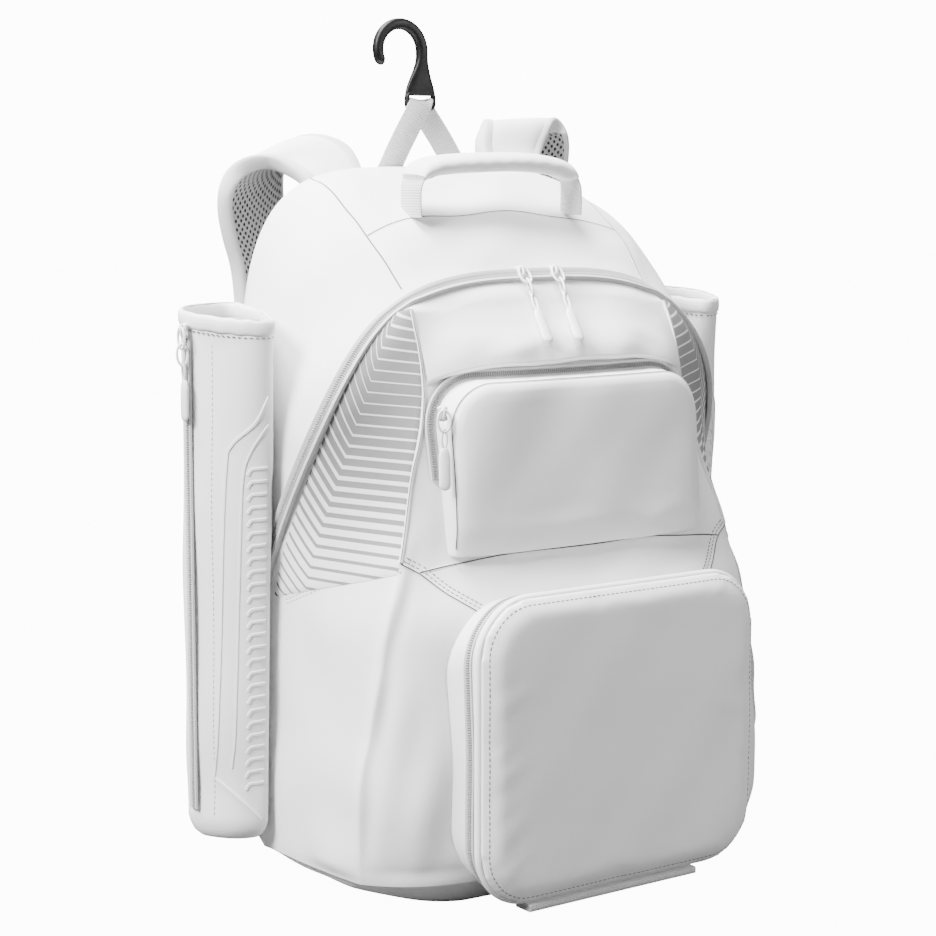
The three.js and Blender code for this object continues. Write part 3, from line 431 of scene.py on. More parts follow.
def bump(tree, shader, height, distance):  # fine relief, with its depth in metres
    node = addNode(tree, "ShaderNodeBump", Height=height, Distance=distance, Strength=1.0)
    tree.links.new(node.outputs["Normal"], shader.inputs["Normal"])


def grey(v):
    return (v, v, v, 1.0)


# Cloth of any kind here: its colour, thread in millimetres, depth of weave, cloudiness.
def makeCloth(name, value, roughness, thread, depth, slub=0.3, cloud=0.05, shadeDepth=0.05):
    material, tree, shader = startMaterial(name, roughness, 0.12, 0.3)
    weave = useGroup(tree, weaveGroup, Thread=thread, Slub=slub)
    clouds = useGroup(tree, cloudGroup, Amount=cloud)
    threadShade = remap(tree, weave.outputs["Shade"], 0.0, 1.0, 1.0 - shadeDepth, 1.0, False)
    tint = calc(tree, "MULTIPLY", threadShade, clouds.outputs["Tint"])
    color = blendColor(tree, 1.0, grey(value), tint, "MULTIPLY")
    tree.links.new(color, shader.inputs["Base Color"])
    rough = remap(tree, clouds.outputs["Dents"], 0.3, 0.7, roughness - 0.05, roughness + 0.05)
    tree.links.new(rough, shader.inputs["Roughness"])
    bump(tree, shader, weave.outputs["Height"], depth)
    return material


# Grey cloth with white chevron stripes. UV: x is the share from the panel's front edge to the zip,
# y its height in metres. A stripe runs level to the bend at 0.72 and then climbs to the zip.
def makeChevronCloth():
    material, tree, shader = startMaterial("chevronCloth", 0.7, 0.1, 0.25)
    place = addNode(tree, "ShaderNodeUVMap", uv_map="chevron")
    split = addNode(tree, "ShaderNodeSeparateXYZ", Vector=place.outputs["UV"])
    level = calc(tree, "MULTIPLY", split.outputs["X"], -0.006)
    climb = calc(tree, "MULTIPLY",
                 calc(tree, "MAXIMUM", calc(tree, "SUBTRACT", split.outputs["X"], 0.70), 0.0), -0.068)
    height = calc(tree, "ADD", split.outputs["Y"], calc(tree, "ADD", level, climb))
    stripe = calc(tree, "FRACT", calc(tree, "DIVIDE", height, 0.0074))
    fromMiddle = calc(tree, "ABSOLUTE", calc(tree, "SUBTRACT", stripe, 0.5))
    thick = addNode(tree, "ShaderNodeValToRGB", Fac=remap(tree, height, 0.215, 0.415, 0.0, 1.0, False))
    ramp = thick.color_ramp
    ramp.elements[0].position, ramp.elements[0].color = 0.0, grey(0.37)
    ramp.elements[1].position, ramp.elements[1].color = 1.0, grey(0.16)
    for position, share in ((0.12, 0.34), (0.3, 0.25), (0.48, 0.13), (0.64, 0.06), (0.72, 0.05),
                            (0.84, 0.10)):
        ramp.elements.new(position).color = grey(share)
    edge = calc(tree, "SUBTRACT", fromMiddle, thick.outputs["Color"])
    white = remap(tree, edge, -0.03, 0.03, 1.0, 0.0)
    weave = useGroup(tree, weaveGroup, Thread=0.8, Slub=0.3)
    clouds = useGroup(tree, cloudGroup, Amount=0.06)
    shade = calc(tree, "MULTIPLY", remap(tree, weave.outputs["Shade"], 0.0, 1.0, 0.86, 1.0, False),
                 clouds.outputs["Tint"])
    printed = blendColor(tree, white, grey(0.25), grey(0.86))
    color = blendColor(tree, 1.0, printed, shade, "MULTIPLY")
    tree.links.new(color, shader.inputs["Base Color"])
    bump(tree, shader, calc(tree, "ADD", weave.outputs["Height"], calc(tree, "MULTIPLY", white, 0.6)),
         0.00025)
    return material


# Air mesh: rows of oval holes between pale threads, on the UV map; the holes get a dark colour, painted shade
# inside them.
def makeAirMesh(name, value, holeShade, pitch, stretch=1.0, deep=0.0012, holeSize=(0.24, 0.36)):
    material, tree, shader = startMaterial(name, 0.85, 0.2, 0.2)
    place = addNode(tree, "ShaderNodeUVMap")
    turned = addNode(tree, "ShaderNodeMapping", Vector=place.outputs["UV"])
    turned.inputs["Rotation"].default_value = (0.0, 0.0, math.radians(45))
    turned.inputs["Scale"].default_value = (1.0 / pitch, stretch / pitch, 1.0)
    cells = addNode(tree, "ShaderNodeTexVoronoi", Vector=turned.outputs["Vector"], voronoi_dimensions="2D",
                    Scale=1.0, Randomness=0.08)
    thread = remap(tree, cells.outputs["Distance"], *holeSize)
    # painted shade: the holes between the threads get the dark colour
    color = blendColor(tree, thread, grey(holeShade), grey(value))
    clouds = useGroup(tree, cloudGroup, Amount=0.12)
    tree.links.new(blendColor(tree, 1.0, color, clouds.outputs["Tint"], "MULTIPLY"),
                   shader.inputs["Base Color"])
    bump(tree, shader, thread, deep)
    return material


# Webbing: ribs across its width and fine threads along it.
def makeWebbing(name, value, rib=1.5):
    material, tree, shader = startMaterial(name, 0.72, 0.2, 0.3)
    place = addNode(tree, "ShaderNodeUVMap")
    split = addNode(tree, "ShaderNodeSeparateXYZ", Vector=place.outputs["UV"])
    ribs = calc(tree, "ABSOLUTE",
                calc(tree, "SINE", calc(tree, "MULTIPLY", split.outputs["Y"], 3141.6 / rib)))
    threads = calc(tree, "ABSOLUTE",
                   calc(tree, "SINE", calc(tree, "MULTIPLY", split.outputs["X"], 3141.6 / 1.1)))
    height = calc(tree, "ADD", calc(tree, "MULTIPLY", ribs, 0.6), calc(tree, "MULTIPLY", threads, 0.4))
    clouds = useGroup(tree, cloudGroup, Amount=0.07)
    shade = calc(tree, "MULTIPLY", remap(tree, height, 0.1, 0.9, 0.74, 1.0), clouds.outputs["Tint"])
    tree.links.new(blendColor(tree, 1.0, grey(value), shade, "MULTIPLY"), shader.inputs["Base Color"])
    bump(tree, shader, height, 0.0005)
    return material


# Moulded plastic: a fine spark-eroded grain and a little unevenness in its gloss.
def makePlastic(name, value, roughness, grain=900.0, coat=0.0, specular=0.5):
    material, tree, shader = startMaterial(name, roughness, 0.0, specular, coat)
    place = addNode(tree, "ShaderNodeTexCoord")
    fine = addNode(tree, "ShaderNodeTexNoise", Vector=place.outputs["Object"], Scale=grain, Detail=2.0)
    slow = addNode(tree, "ShaderNodeTexNoise", Vector=place.outputs["Object"], Scale=60.0, Detail=3.0)
    tint = remap(tree, slow.outputs["Fac"], 0.3, 0.7, 0.94, 1.03)
    tree.links.new(blendColor(tree, 1.0, grey(value), tint, "MULTIPLY"), shader.inputs["Base Color"])
    tree.links.new(remap(tree, slow.outputs["Fac"], 0.3, 0.7, roughness - 0.06, roughness + 0.08),
                   shader.inputs["Roughness"])
    bump(tree, shader, fine.outputs["Fac"], 0.00008)
    return material


# Thread, and a seam whose fold line is darkened with painted shade.
def makeThread(name, value):
    material, tree, shader = startMaterial(name, 0.75, 0.1, 0.2)
    place = addNode(tree, "ShaderNodeTexCoord")
    twist = addNode(tree, "ShaderNodeTexNoise", Vector=place.outputs["Object"], Scale=1400.0, Detail=2.0)
    tint = remap(tree, twist.outputs["Fac"], 0.3, 0.7, 0.8, 1.1)
    tree.links.new(blendColor(tree, 1.0, grey(value), tint, "MULTIPLY"), shader.inputs["Base Color"])
    bump(tree, shader, twist.outputs["Fac"], 0.0002)
    return material


# A seam as cloth with painted shade darkening the fold in its middle; UV x is the distance from the middle in
# metres.
def makeSeamCloth(name, value, foldShade, half=0.00042):
    material, tree, shader = startMaterial(name, 0.6, 0.1, 0.3)
    place = addNode(tree, "ShaderNodeUVMap")
    split = addNode(tree, "ShaderNodeSeparateXYZ", Vector=place.outputs["UV"])
    # painted shade: the seam's middle gets the darker colour, standing in for shade in its fold
    fold = remap(tree, calc(tree, "ABSOLUTE", split.outputs["X"]), half * 0.5, half * 1.6, 1.0, 0.0)
    clouds = useGroup(tree, cloudGroup, Amount=0.05)
    color = blendColor(tree, fold, grey(value), grey(foldShade))
    tree.links.new(blendColor(tree, 1.0, color, clouds.outputs["Tint"], "MULTIPLY"),
                   shader.inputs["Base Color"])
    bump(tree, shader, calc(tree, "SUBTRACT", 1.0, fold), 0.0004)
    return material


coatedCloth = makeCloth("coatedCloth", 0.80, 0.52, 0.55, 0.00006, slub=0.5, cloud=0.035, shadeDepth=0.02)
innerCloth = makeCloth("innerCloth", 0.62, 0.8, 0.6, 0.0001)
zipTape = makeCloth("zipTape", 0.50, 0.7, 1.2, 0.00022, slub=0.2, cloud=0.05, shadeDepth=0.10)
bindingCloth = makeCloth("bindingCloth", 0.66, 0.75, 1.3, 0.0003, slub=0.3, cloud=0.08, shadeDepth=0.2)
paleWebbing = makeWebbing("paleWebbing", 0.62, 1.9)
chevronCloth = makeChevronCloth()
strapMesh = makeAirMesh("strapMesh", 0.42, 0.035, 0.0037, 0.8)
backMesh = makeAirMesh("backMesh", 0.60, 0.16, 0.0034, 0.8)
pocketMesh = makeAirMesh("pocketMesh", 0.66, 0.2, 0.0022, 1.0, 0.0006)
whitePlastic = makePlastic("whitePlastic", 0.78, 0.34)
teethPlastic = makePlastic("teethPlastic", 0.24, 0.4)
blackPlastic = makePlastic("blackPlastic", 0.004, 0.42, 500.0, 0.0, 0.25)
stitchThread = makeThread("stitchThread", 0.14)
whiteThread = makeThread("whiteThread", 0.36)
seamCloth = makeSeamCloth("seamCloth", 0.78, 0.04, 0.0005)
print("materials made")

# The main body, in millimetres
body = {
    "height": 508.0, "halfWidth": 190.0, "backHalf": 172.0, "backY": 113.0, "frontDepth": 106.0,
    "edgeRise": 22.0, "footHalf": 104.0, "topBulge": 14.0, "sideBulge": 5.0,
    "zipTop": 430.0, "zipSpring": 190.0, "zipEnd": 174.0, "zipTopY": -14.0, "zipEndY": 55.0,
    "zipPower": 3.1,
    "levelSteps": 9, "insideColumns": 34, "sideColumns": 20, "gussetSteps": 30,
    "rumple": 1.5,
}
# zip height, front height, fold's half width, fold's depth, middle's depth, squareness: shares
levels = np.array([
    (0.049, 0.041, 0.942, 0.50, 0.90, 6.0), (0.075, 0.071, 0.958, 0.53, 0.925, 6.5),
    (0.120, 0.116, 0.963, 0.54, 0.925, 6.5), (0.180, 0.180, 0.960, 0.55, 0.92, 6.5),
    (0.245, 0.256, 0.925, 0.57, 0.92, 6.0), (0.315, 0.335, 0.880, 0.60, 0.91, 5.0),
    (0.370, 0.405, 0.842, 0.59, 0.88, 4.0), (0.415, 0.476, 0.780, 0.55, 0.68, 2.6),
    (0.475, 0.530, 0.731, 0.50, 0.61, 2.2), (0.561, 0.594, 0.684, 0.453, 0.56, 2.0),
    (0.636, 0.672, 0.631, 0.41, 0.53, 2.0), (0.689, 0.712, 0.613, 0.383, 0.50, 2.0),
    (0.738, 0.756, 0.606, 0.325, 0.45, 2.0), (0.774, 0.783, 0.605, 0.28, 0.36, 2.0),
    (0.799, 0.807, 0.602, 0.235, 0.28, 2.0),
])


def zipHalf(z):  # half width of the arch at a height
    rise = np.clip((z - body["zipSpring"]) / (body["zipTop"] - body["zipSpring"]), 0, 1)
    return body["halfWidth"] * (1 - rise ** body["zipPower"]) ** (1 / body["zipPower"])


def zipDepth(z):  # the arch leans: its depth eases from its ends to its top
    return mix(body["zipEndY"], body["zipTopY"],
               ease((z - body["zipEnd"]) / (body["zipTop"] - 45 - body["zipEnd"])))


def zipOver(x):  # the arch's top stretch, above a half width
    power = body["zipPower"]
    rise = (1 - np.abs(np.asarray(x, float) / body["halfWidth"]) ** power) ** (1 / power)
    z = mix(body["zipSpring"], body["zipTop"], rise)
    return np.stack([x, np.full_like(rise, body["zipTopY"]), z], -1)


# The front from the base to the zip. Inside the fold line a row's depth runs from the middle's to
# the fold's with share ** squareness; outside it a quadratic curve runs back to the zip.
def makeFrontGrid():
    rows = np.linspace(0, 14, 14 * body["levelSteps"] + 1)
    zipZ, level, fold, foldDepth, middle, square = spline(levels, rows).T
    zipZ, z = zipZ * body["height"], level * body["height"]
    foldX, foldY = fold * body["halfWidth"], -foldDepth * body["frontDepth"]
    share = np.sin(np.linspace(0, math.pi / 2, body["insideColumns"] + 1)) ** 0.9
    x = foldX[:, None] * share
    y = mix(-middle[:, None] * body["frontDepth"], foldY[:, None], share ** square[:, None])
    inside = np.stack([x, y, np.broadcast_to(z[:, None], x.shape)], -1)
    zipAt = np.stack([zipHalf(zipZ), zipDepth(zipZ), zipZ], -1)
    foldAt = np.stack([foldX, foldY, z], -1)
    plan = foldAt - zipAt
    outward = unit(np.stack([-plan[:, 1], plan[:, 0], 0 * z], -1))
    outward = outward * np.sign(outward[:, :1])
    bend = (zipAt + foldAt) / 2 + outward * (6 + 13 * np.exp(-((zipZ - 220) / 45) ** 2))[:, None]
    t = np.linspace(0, 1, body["sideColumns"] + 1)[1:][None, :, None]
    side = (1 - t) ** 2 * foldAt[:, None] + 2 * t * (1 - t) * bend[:, None] + t ** 2 * zipAt[:, None]
    half = np.concatenate([inside, side], 1)
    corner = zipAt[-1, 0] * 0.9
    where = np.concatenate([share, 1 + t[0, :, 0]])
    topShare = np.interp(where, [0, 0.3, 0.58, 0.8, 1, 1.45, 1.9, 2],
                         [0, 0.3, 0.58, 0.8, 0.92, 0.96, 0.98, 1])
    top = zipOver(corner * topShare)
    rise = np.linspace(0, 1, 9)[1:][:, None, None]
    crown = np.array([0.0, -2.2, 0.0]) * np.sin(math.pi * rise) * (1 - topShare[None, :, None] ** 4)
    half = np.concatenate([half, mix(half[-1:], top[None], rise) + crown], 0)
    grid = np.concatenate([half[:, :0:-1] * np.array([-1, 1, 1]), half], 1)
    soft = grid.copy()
    for _ in range(2):  # rounds the fold lines
        soft[:, 1:-1] = (soft[:, :-2] + 2 * soft[:, 1:-1] + soft[:, 2:]) / 4
        soft[1:-1, 2:-2] = (soft[:-2, 2:-2] + 4 * soft[1:-1, 2:-2] + soft[2:, 2:-2]) / 6
    return soft, np.concatenate([-where[:0:-1], where])


def backHalfAt(z):  # half width of the back panel: an arch of power 4.4, drawn in a little at its foot
    spring = body["height"] * 0.49
    rise = np.clip((z - spring) / (body["height"] - spring), 0, 1)
    dip = np.clip((body["edgeRise"] + 60 - z) / 60, 0, 1)
    return body["backHalf"] * (1 - rise ** 4.4) ** (1 / 4.4) * (1 - 0.1 * dip ** 3)


# The gusset: every point of the front's edge runs straight back to the back panel's edge, with a
# swell of 4s(1-s) on the way, closed behind by the back panel.
def makeShellGrid(front, where):
    rise, high, spring = body["edgeRise"], body["height"], body["height"] * 0.49
    stretch = (high - rise) / (body["zipTop"] - rise)
    bottom, top = front[0], front[-1][::-1]
    right, left = front[1:-1, -1], front[1:-1, 0][::-1]
    ring = np.concatenate([bottom, right, top, left])
    kind = np.concatenate([np.zeros(len(bottom)), np.ones(len(right)), np.full(len(top), 2),
                           np.ones(len(left))])
    heel = np.interp(np.abs(where), [0, 0.3, 0.58, 0.8, 1, 1.465, 1.93, 2],
                     [0, 0.28, 0.5, 0.66, 0.78, 0.87, 0.94, 1])
    back = ring.copy()
    back[:, 1] = body["backY"]
    back[:, 2] = rise + (ring[:, 2] - rise) * stretch
    back[:, 0] = np.sign(ring[:, 0]) * backHalfAt(back[:, 2])
    low, over = kind == 0, kind == 2
    back[low, 0] = np.sign(where) * heel * backHalfAt(rise)
    back[low, 2] = rise
    corner = front[-1, -1]
    cornerX = backHalfAt(rise + (corner[2] - rise) * stretch)
    back[over, 0] = ring[over, 0] * cornerX / corner[0]
    share = np.minimum(np.abs(back[over, 0]) / body["backHalf"], 1)
    back[over, 2] = spring + (high - spring) * (1 - share ** 4.4) ** (1 / 4.4)
    rows = []
    for s in np.linspace(0, 1, body["gussetSteps"]):
        p, swell = mix(ring, back, s), 4 * s * (1 - s)
        reach = np.clip((np.abs(p[:, 0]) - body["footHalf"]) / (body["halfWidth"] - body["footHalf"]), 0, 1)
        p[low, 2] = (mix(ring[low, 2], rise * reach[low] ** 1.6,
                         ease(s * 10)) if s < 0.1 else rise * reach[low] ** 1.6)
        p[over, 2] += body["topBulge"] * swell
        side = kind == 1
        p[side, 0] += np.sign(p[side, 0]) * body["sideBulge"] * swell
        p[side, 2] += body["topBulge"] * swell * ease((p[side, 2] - high * 0.7) / (high * 0.2))
        rows.append(p)
    middle = np.array([0, body["backY"], high * 0.5])
    for share, depth in ((0.015, 2.0), (0.06, 3.0), (0.2, 3.4), (0.5, 4.0), (0.8, 4.0), (0.97, 4.0)):
        p = mix(back, middle, share)
        p[:, 1] = body["backY"] + depth
        rows.append(p)
    return np.stack(rows)


frontGrid, frontWhere = makeFrontGrid()
shellGrid = makeShellGrid(frontGrid, frontWhere)
frontOut = gridNormals(frontGrid)
if frontOut[40, 60, 1] > 0:
    frontOut = -frontOut
shellOut = gridNormals(shellGrid, True)
if (shellOut * (shellGrid - np.array([0, 30, 230]))).sum() < 0:
    shellOut = -shellOut


# Cloth lies less flat away from its seams: the unevenness fades to nothing at a grid's edges.
def edgeFade(rows, columns, width):
    r = np.minimum(np.arange(rows), np.arange(rows)[::-1]) / width
    c = np.minimum(np.arange(columns), np.arange(columns)[::-1]) / width
    return ease(r)[:, None] * ease(c)[None]


# Creases raise the cloth by Gaussian bells across them, with a shallow trough beside each. A crease:
# middle, direction, half length, half width, height.
def softCreases(points, creases):
    rise = np.zeros(points.shape[:-1])
    for at, way, long, wide, high in creases:
        way = np.asarray(way, float) / np.linalg.norm(way)
        offset = points - np.asarray(at, float)
        along = (offset * way).sum(-1)
        aside = np.linalg.norm(offset - along[..., None] * way, axis=-1)
        bow = aside + 0.0015 * along ** 2
        rise += high * np.exp(-(along / long) ** 2) * (np.exp(-(bow / wide) ** 2)
                                                       - 0.55 * np.exp(-((bow - 1.7 * wide) / wide) ** 2))
    return rise


frontCreases = [
    ((-20, -48, 392), (1, 0, 0.3), 46, 7, 1.4), ((62, -46, 398), (1, 0, -0.45), 34, 6, 1.6),
    ((-118, -70, 300), (0.1, 0, 1), 30, 5, 1.0), ((-128, -66, 262), (0.5, 0, 1), 20, 5, -1.2),
    ((0, -95, 228), (1, 0, 0.05), 60, 6, 0.9), ((-156, -61, 210), (-0.33, 0, -0.9), 34, 5, 2.0),
    ((-172, -62, 150), (-0.2, 0, -1), 40, 5, 2.2), ((-182, -57, 80), (-0.05, 0, -1), 44, 5, 2.0),
    ((-118, -100, 100), (0.05, 0, 1), 70, 8, 1.4), ((-150, -85, 60), (0.1, 0, 1), 40, 9, 1.2),
    ((-160, -70, 120), (0.2, 0, 1), 50, 9, 1.6),
    ((-172, -30, 150), (0, 0.3, 1), 60, 10, 1.4), ((160, -70, 120), (0.2, 0, 1), 50, 9, 1.6),
]
shellCreases = [
    ((-150, 40, 400), (0, 1, 0.5), 50, 9, 1.5), ((-188, 20, 330), (0, 0.6, 1), 50, 9, 1.4),
    ((-60, 60, 496), (1, 0.5, 0), 40, 9, 1.2), ((70, 0, 452), (1, 0.4, 0), 40, 8, 1.1),
    ((186, 40, 300), (0, 0.6, 1), 60, 10, 1.4),
]
frontGrid = frontGrid + frontOut * ((rumple(frontGrid, body["rumple"])
                                     + softCreases(frontGrid, frontCreases))
                                    * edgeFade(*frontGrid.shape[:2], 7))[..., None]
shellFade = (ease(np.arange(len(shellGrid)) / 4)
             * ease((body["gussetSteps"] - 1 - np.arange(len(shellGrid))) / 4))[:, None]
shellGrid = shellGrid + shellOut * ((rumple(shellGrid, body["rumple"])
                                     + softCreases(shellGrid, shellCreases))
                                    * shellFade)[..., None]
insideBody = (0, 25, 230)
for grid in (frontGrid, shellGrid):  # none of it dips into the floor
    grid[..., 2] = np.maximum(grid[..., 2], 0.3)

stitches, paleStitches, seams = [], [], []


# A sewn seam on a surface: a low double ridge with a fold between, and a row of stitches beside it.
def sewSeam(grid, points, out, stitchAt=(), width=2.6, high=0.35, pale=False):
    line, normals = lineOn(grid, points, 1.6, out)
    profile = np.array([(-0.5, -0.25), (-0.3, 0.8), (-0.1, 1.0), (0, 0.55), (0.1, 1.0), (0.3, 0.8),
                        (0.5, -0.25)])
    seams.append((carry(line, normals, profile * np.array([width, high])), len(profile)))
    for shift in stitchAt:
        row = barsAlong(line, normals, 3.6, 2.5, 0.75, 0.5, 0.0, shift)
        (paleStitches if pale else stitches).append(row)


# Closes the last ring of a grid's mesh with one face.
def closeEnd(piece, grid):
    work = bmesh.new()
    work.from_mesh(piece.data)
    work.verts.ensure_lookup_table()
    count = grid.shape[0] * grid.shape[1]
    face = work.faces.new([work.verts[i] for i in range(count - grid.shape[1], count)])
    face.smooth = True
    bmesh.ops.recalc_face_normals(work, faces=work.faces)
    work.to_mesh(piece.data)
    work.free()
    return piece


def makeBody():
    shell = gridPiece("bodyShell", shellGrid, wrap=True, outFrom=insideBody)
    dress(closeEnd(shell, shellGrid), coatedCloth, ["body_shell"])
    front = gridPiece("frontPanel", frontGrid, outFrom=insideBody)
    dress(front, coatedCloth, ["front_panel"])


makeBody()
print("body made")


# Main zip and chevron panels
zipSize = {"width": 10.0, "lift": 2.2, "thick": 1.6, "teeth": 1.7, "toothThick": 1.15, "toothHigh": 1.1,
        "slant": 0.25, "spread": 0.42}


# The arch where front and gusset meet, from its left end over the top to its right end. Its
# normals are the mean of both surfaces' normals, smoothed along the line.
def archLine(step=2.5):
    right, left = frontGrid[1:-1, -1], frontGrid[1:-1, 0]
    shellFront = shellOut[3]
    # the ring's own order is bottom, right side, top from right to left, left side downwards
    bottom, rightRows = frontGrid.shape[1], frontGrid.shape[0] - 2
    ringLeft = shellFront[bottom + rightRows + bottom:][::-1]
    ringTop = shellFront[bottom + rightRows:bottom + rightRows + bottom][::-1]
    ringRight = shellFront[bottom:bottom + rightRows]
    sides = right[:, 2] > body["zipEnd"]
    back = np.concatenate([ringLeft[sides], ringTop, ringRight[sides][::-1]])
    line = np.concatenate([left[sides], frontGrid[-1], right[sides][::-1]])
    front = np.concatenate([frontOut[1:-1][sides, 2], frontOut[-3], frontOut[1:-1][sides, -3][::-1]])
    out = unit(unit(front) + unit(back))
    for _ in range(12):
        out[1:-1] = (out[:-2] + 2 * out[1:-1] + out[2:]) / 4
    out = unit(out)
    return evenly(line, int(lengthAlong(line)[-1] / step), out)


# A zip: its tape's section carried along a line, and two rows of slanted teeth along its middle.
def zipAlong(name, line, normals, width, lift, thick, toothWide, nodes):
    half = width / 2
    tape = [(-half, -lift), (-half, thick * 0.5), (-half * 0.92, thick), (-half * 0.5, thick * 0.9),
            (-half * 0.3, thick * 0.55), (half * 0.3, thick * 0.55), (half * 0.5, thick * 0.9),
            (half * 0.92, thick),
            (half, thick * 0.5), (half, -lift)]
    band = gridPiece(name, carry(line + normals * lift, normals, tape), sharp=0.7)
    dress(band, zipTape, nodes)
    base = line + normals * (lift + thick * 0.55)
    rows = [barsAlong(base, normals, zipSize["teeth"], toothWide, zipSize["toothThick"], zipSize["toothHigh"],
                      math.pi / 2 + zipSize["slant"] * s, zipSize["spread"] * toothWide * s)
            for s in (-1, 1)]
    teeth = meshPiece(name + "Teeth", *joined(rows))
    dress(teeth, teethPlastic)


zipLine, zipOut = archLine()
zipAlong("mainZip", zipLine, zipOut, zipSize["width"], zipSize["lift"], zipSize["thick"], 2.6, ["main_zip"])


# A chevron panel is the front's own surface between its fold line and the zip's facing.
def makeChevrons():
    steps = body["levelSteps"]
    firstRow, lastRow = 7 * steps - 2, 14 * steps + 2
    for side, name in ((1, "Right"), (-1, "Left")):
        a, b = 2 * body["insideColumns"] + body["sideColumns"] - 1, frontGrid.shape[1] - 3
        columns = np.arange(a, b + 1)
        if side < 0:
            columns = frontGrid.shape[1] - 1 - columns
        rows = np.arange(firstRow, lastRow + 1)
        patch = frontGrid[np.ix_(rows, columns)]
        out = frontOut[np.ix_(rows, columns)]
        rim = np.ones(patch.shape[:2])
        rim[[0, -1]] = 0.2
        rim[:, [0, -1]] = 0.2
        piece = gridPiece("chevronPanel" + name, patch + out * (0.9 * rim)[..., None], outFrom=insideBody)
        share = np.linspace(0, 1, len(columns))
        layer = piece.data.uv_layers.new(name="chevron")
        index = np.zeros(len(piece.data.loops), np.int32)
        piece.data.loops.foreach_get("vertex_index", index)
        uv = np.stack([np.broadcast_to(share, patch.shape[:2]), patch[..., 2] * 0.001], -1).reshape(-1, 2)
        layer.data.foreach_set("uv", uv[index].astype(np.float32).ravel())
        dress(piece, chevronCloth, ["chevron_panel_" + name.lower()])


makeChevrons()
print("zip and chevrons made")
outSign = 1.0 if frontOut[40, 60] @ gridNormals(frontGrid)[40, 60] > 0 else -1.0
shellSign = 1.0 if (gridNormals(shellGrid)[5, 20] @ shellOut[5, 20]) > 0 else -1.0
for s in (-1, 1):  # the centre panel's edge over the chevron cloth
    edge = [(s * 115, -24.7, 411), (s * 117.5, -43.3, 348), (s * 123, -46, 324), (s * 130, -48, 302),
            (s * 139, -52, 270), (s * 147.8, -58.3, 242)]
    sewSeam(frontGrid, edge, outSign, (), 3.4, 1.3)
for s in (-1, 1):  # below the chevron panel, round the wing, under the pocket and on the top panel
    lower = [(s * 147.8, -58.3, 242), (s * 165, -38, 237), (s * 180, -10, 226), (s * 187, 26.5, 210)]
    sewSeam(frontGrid, lower, outSign, (3.2 * s, 6.0 * s), pale=True)
    wing = [(s * 147.8, -58.3, 242), (s * 136.4, -66, 233), (s * 120, -82, 220), (s * 104.3, -95.6, 208)]
    sewSeam(frontGrid, wing, outSign, (3.0 * s, 6.0 * s))
    shelf = [(s * 136.4, -66, 233), (s * 112, -74, 241), (s * 60, -77, 243), (0, -78, 243)]
    sewSeam(frontGrid, shelf, outSign)
    top = [(s * 111.6, -9.8, 428), (s * 114, 10, 447), (s * 115.3, 28.7, 464), (s * 113, 70, 486),
           (s * 110, 111, 499)]
    sewSeam(shellGrid, top, shellSign)
across = [(x, 29 + 4 * (1 - abs(x) / 115), z)
          for x, z in ((-115, 464), (-77, 476), (-30, 481), (30, 481), (77, 476), (115, 464))]
sewSeam(shellGrid, across, shellSign)


# Lower compartment and its flap
flap = {
    "halfWidth": 122.5, "low": 6.5, "high": 219.5, "corner": 40.0, "face": -122.0, "thick": 11.0,
    "gussetHalf": 131.0, "gussetLow": 14.0, "gussetHigh": 214.0, "gussetCorner": 52.0,
    "stitchInset": 4.5, "pressure": 2.5, "cap": 1.8, "voxel": 0.0042,
    "rimHold": 3.0, "rimFade": 14.0,
}


# An upright rounded rectangle as a loop of (x, z) from the middle of its bottom edge; the counts on
# each edge and corner are fixed, so loops of other sizes match it point for point.
def roundLoop(halfWidth, low, high, corner, lowCorner=None, edgeSteps=14, cornerSteps=12):
    lowCorner = corner if lowCorner is None else lowCorner
    turn = np.linspace(0, math.pi / 2, cornerSteps, endpoint=False)
    straight = lambda a, b: mix(np.array(a, float), np.array(b, float),
                                np.linspace(0, 1, edgeSteps, endpoint=False)[:, None])
    arc = lambda cx, cz, r, start: np.stack([cx + r * np.cos(start + turn),
                                             cz + r * np.sin(start + turn)], 1)
    xl, xh = halfWidth - lowCorner, halfWidth - corner
    return np.concatenate([
        straight((0, low), (xl, low)), arc(xl, low + lowCorner, lowCorner, -math.pi / 2),
        straight((halfWidth, low + lowCorner), (halfWidth, high - corner)),
        arc(xh, high - corner, corner, 0),
        straight((xh, high), (-xh, high)), arc(-xh, high - corner, corner, math.pi / 2),
        straight((-halfWidth, high - corner), (-halfWidth, low + lowCorner)),
        arc(-xl, low + lowCorner, lowCorner, math.pi),
        straight((-xl, low), (0, low)),
    ])


def upright(loop, depth):  # a loop of (x, z) at one depth
    return np.stack([loop[:, 0], np.full(len(loop), depth), loop[:, 1]], 1)


# Depth of the front's surface at (x, z), read from its grid inside the fold lines.
def frontDepthAt(x, z):
    middle = frontGrid.shape[1] // 2
    depth = np.zeros(len(x))
    rows = np.clip(np.searchsorted(frontGrid[:, middle, 2], z) - 1, 0, len(frontGrid) - 2)
    for k, (a, b, r) in enumerate(zip(x, z, rows)):
        lowRow, highRow = frontGrid[r], frontGrid[r + 1]
        low = np.interp(a, lowRow[:, 0], lowRow[:, 1])
        high = np.interp(a, highRow[:, 0], highRow[:, 1])
        share = (b - lowRow[middle, 2]) / (highRow[middle, 2] - lowRow[middle, 2])
        depth[k] = mix(low, high, min(max(share, 0), 1))
    return depth


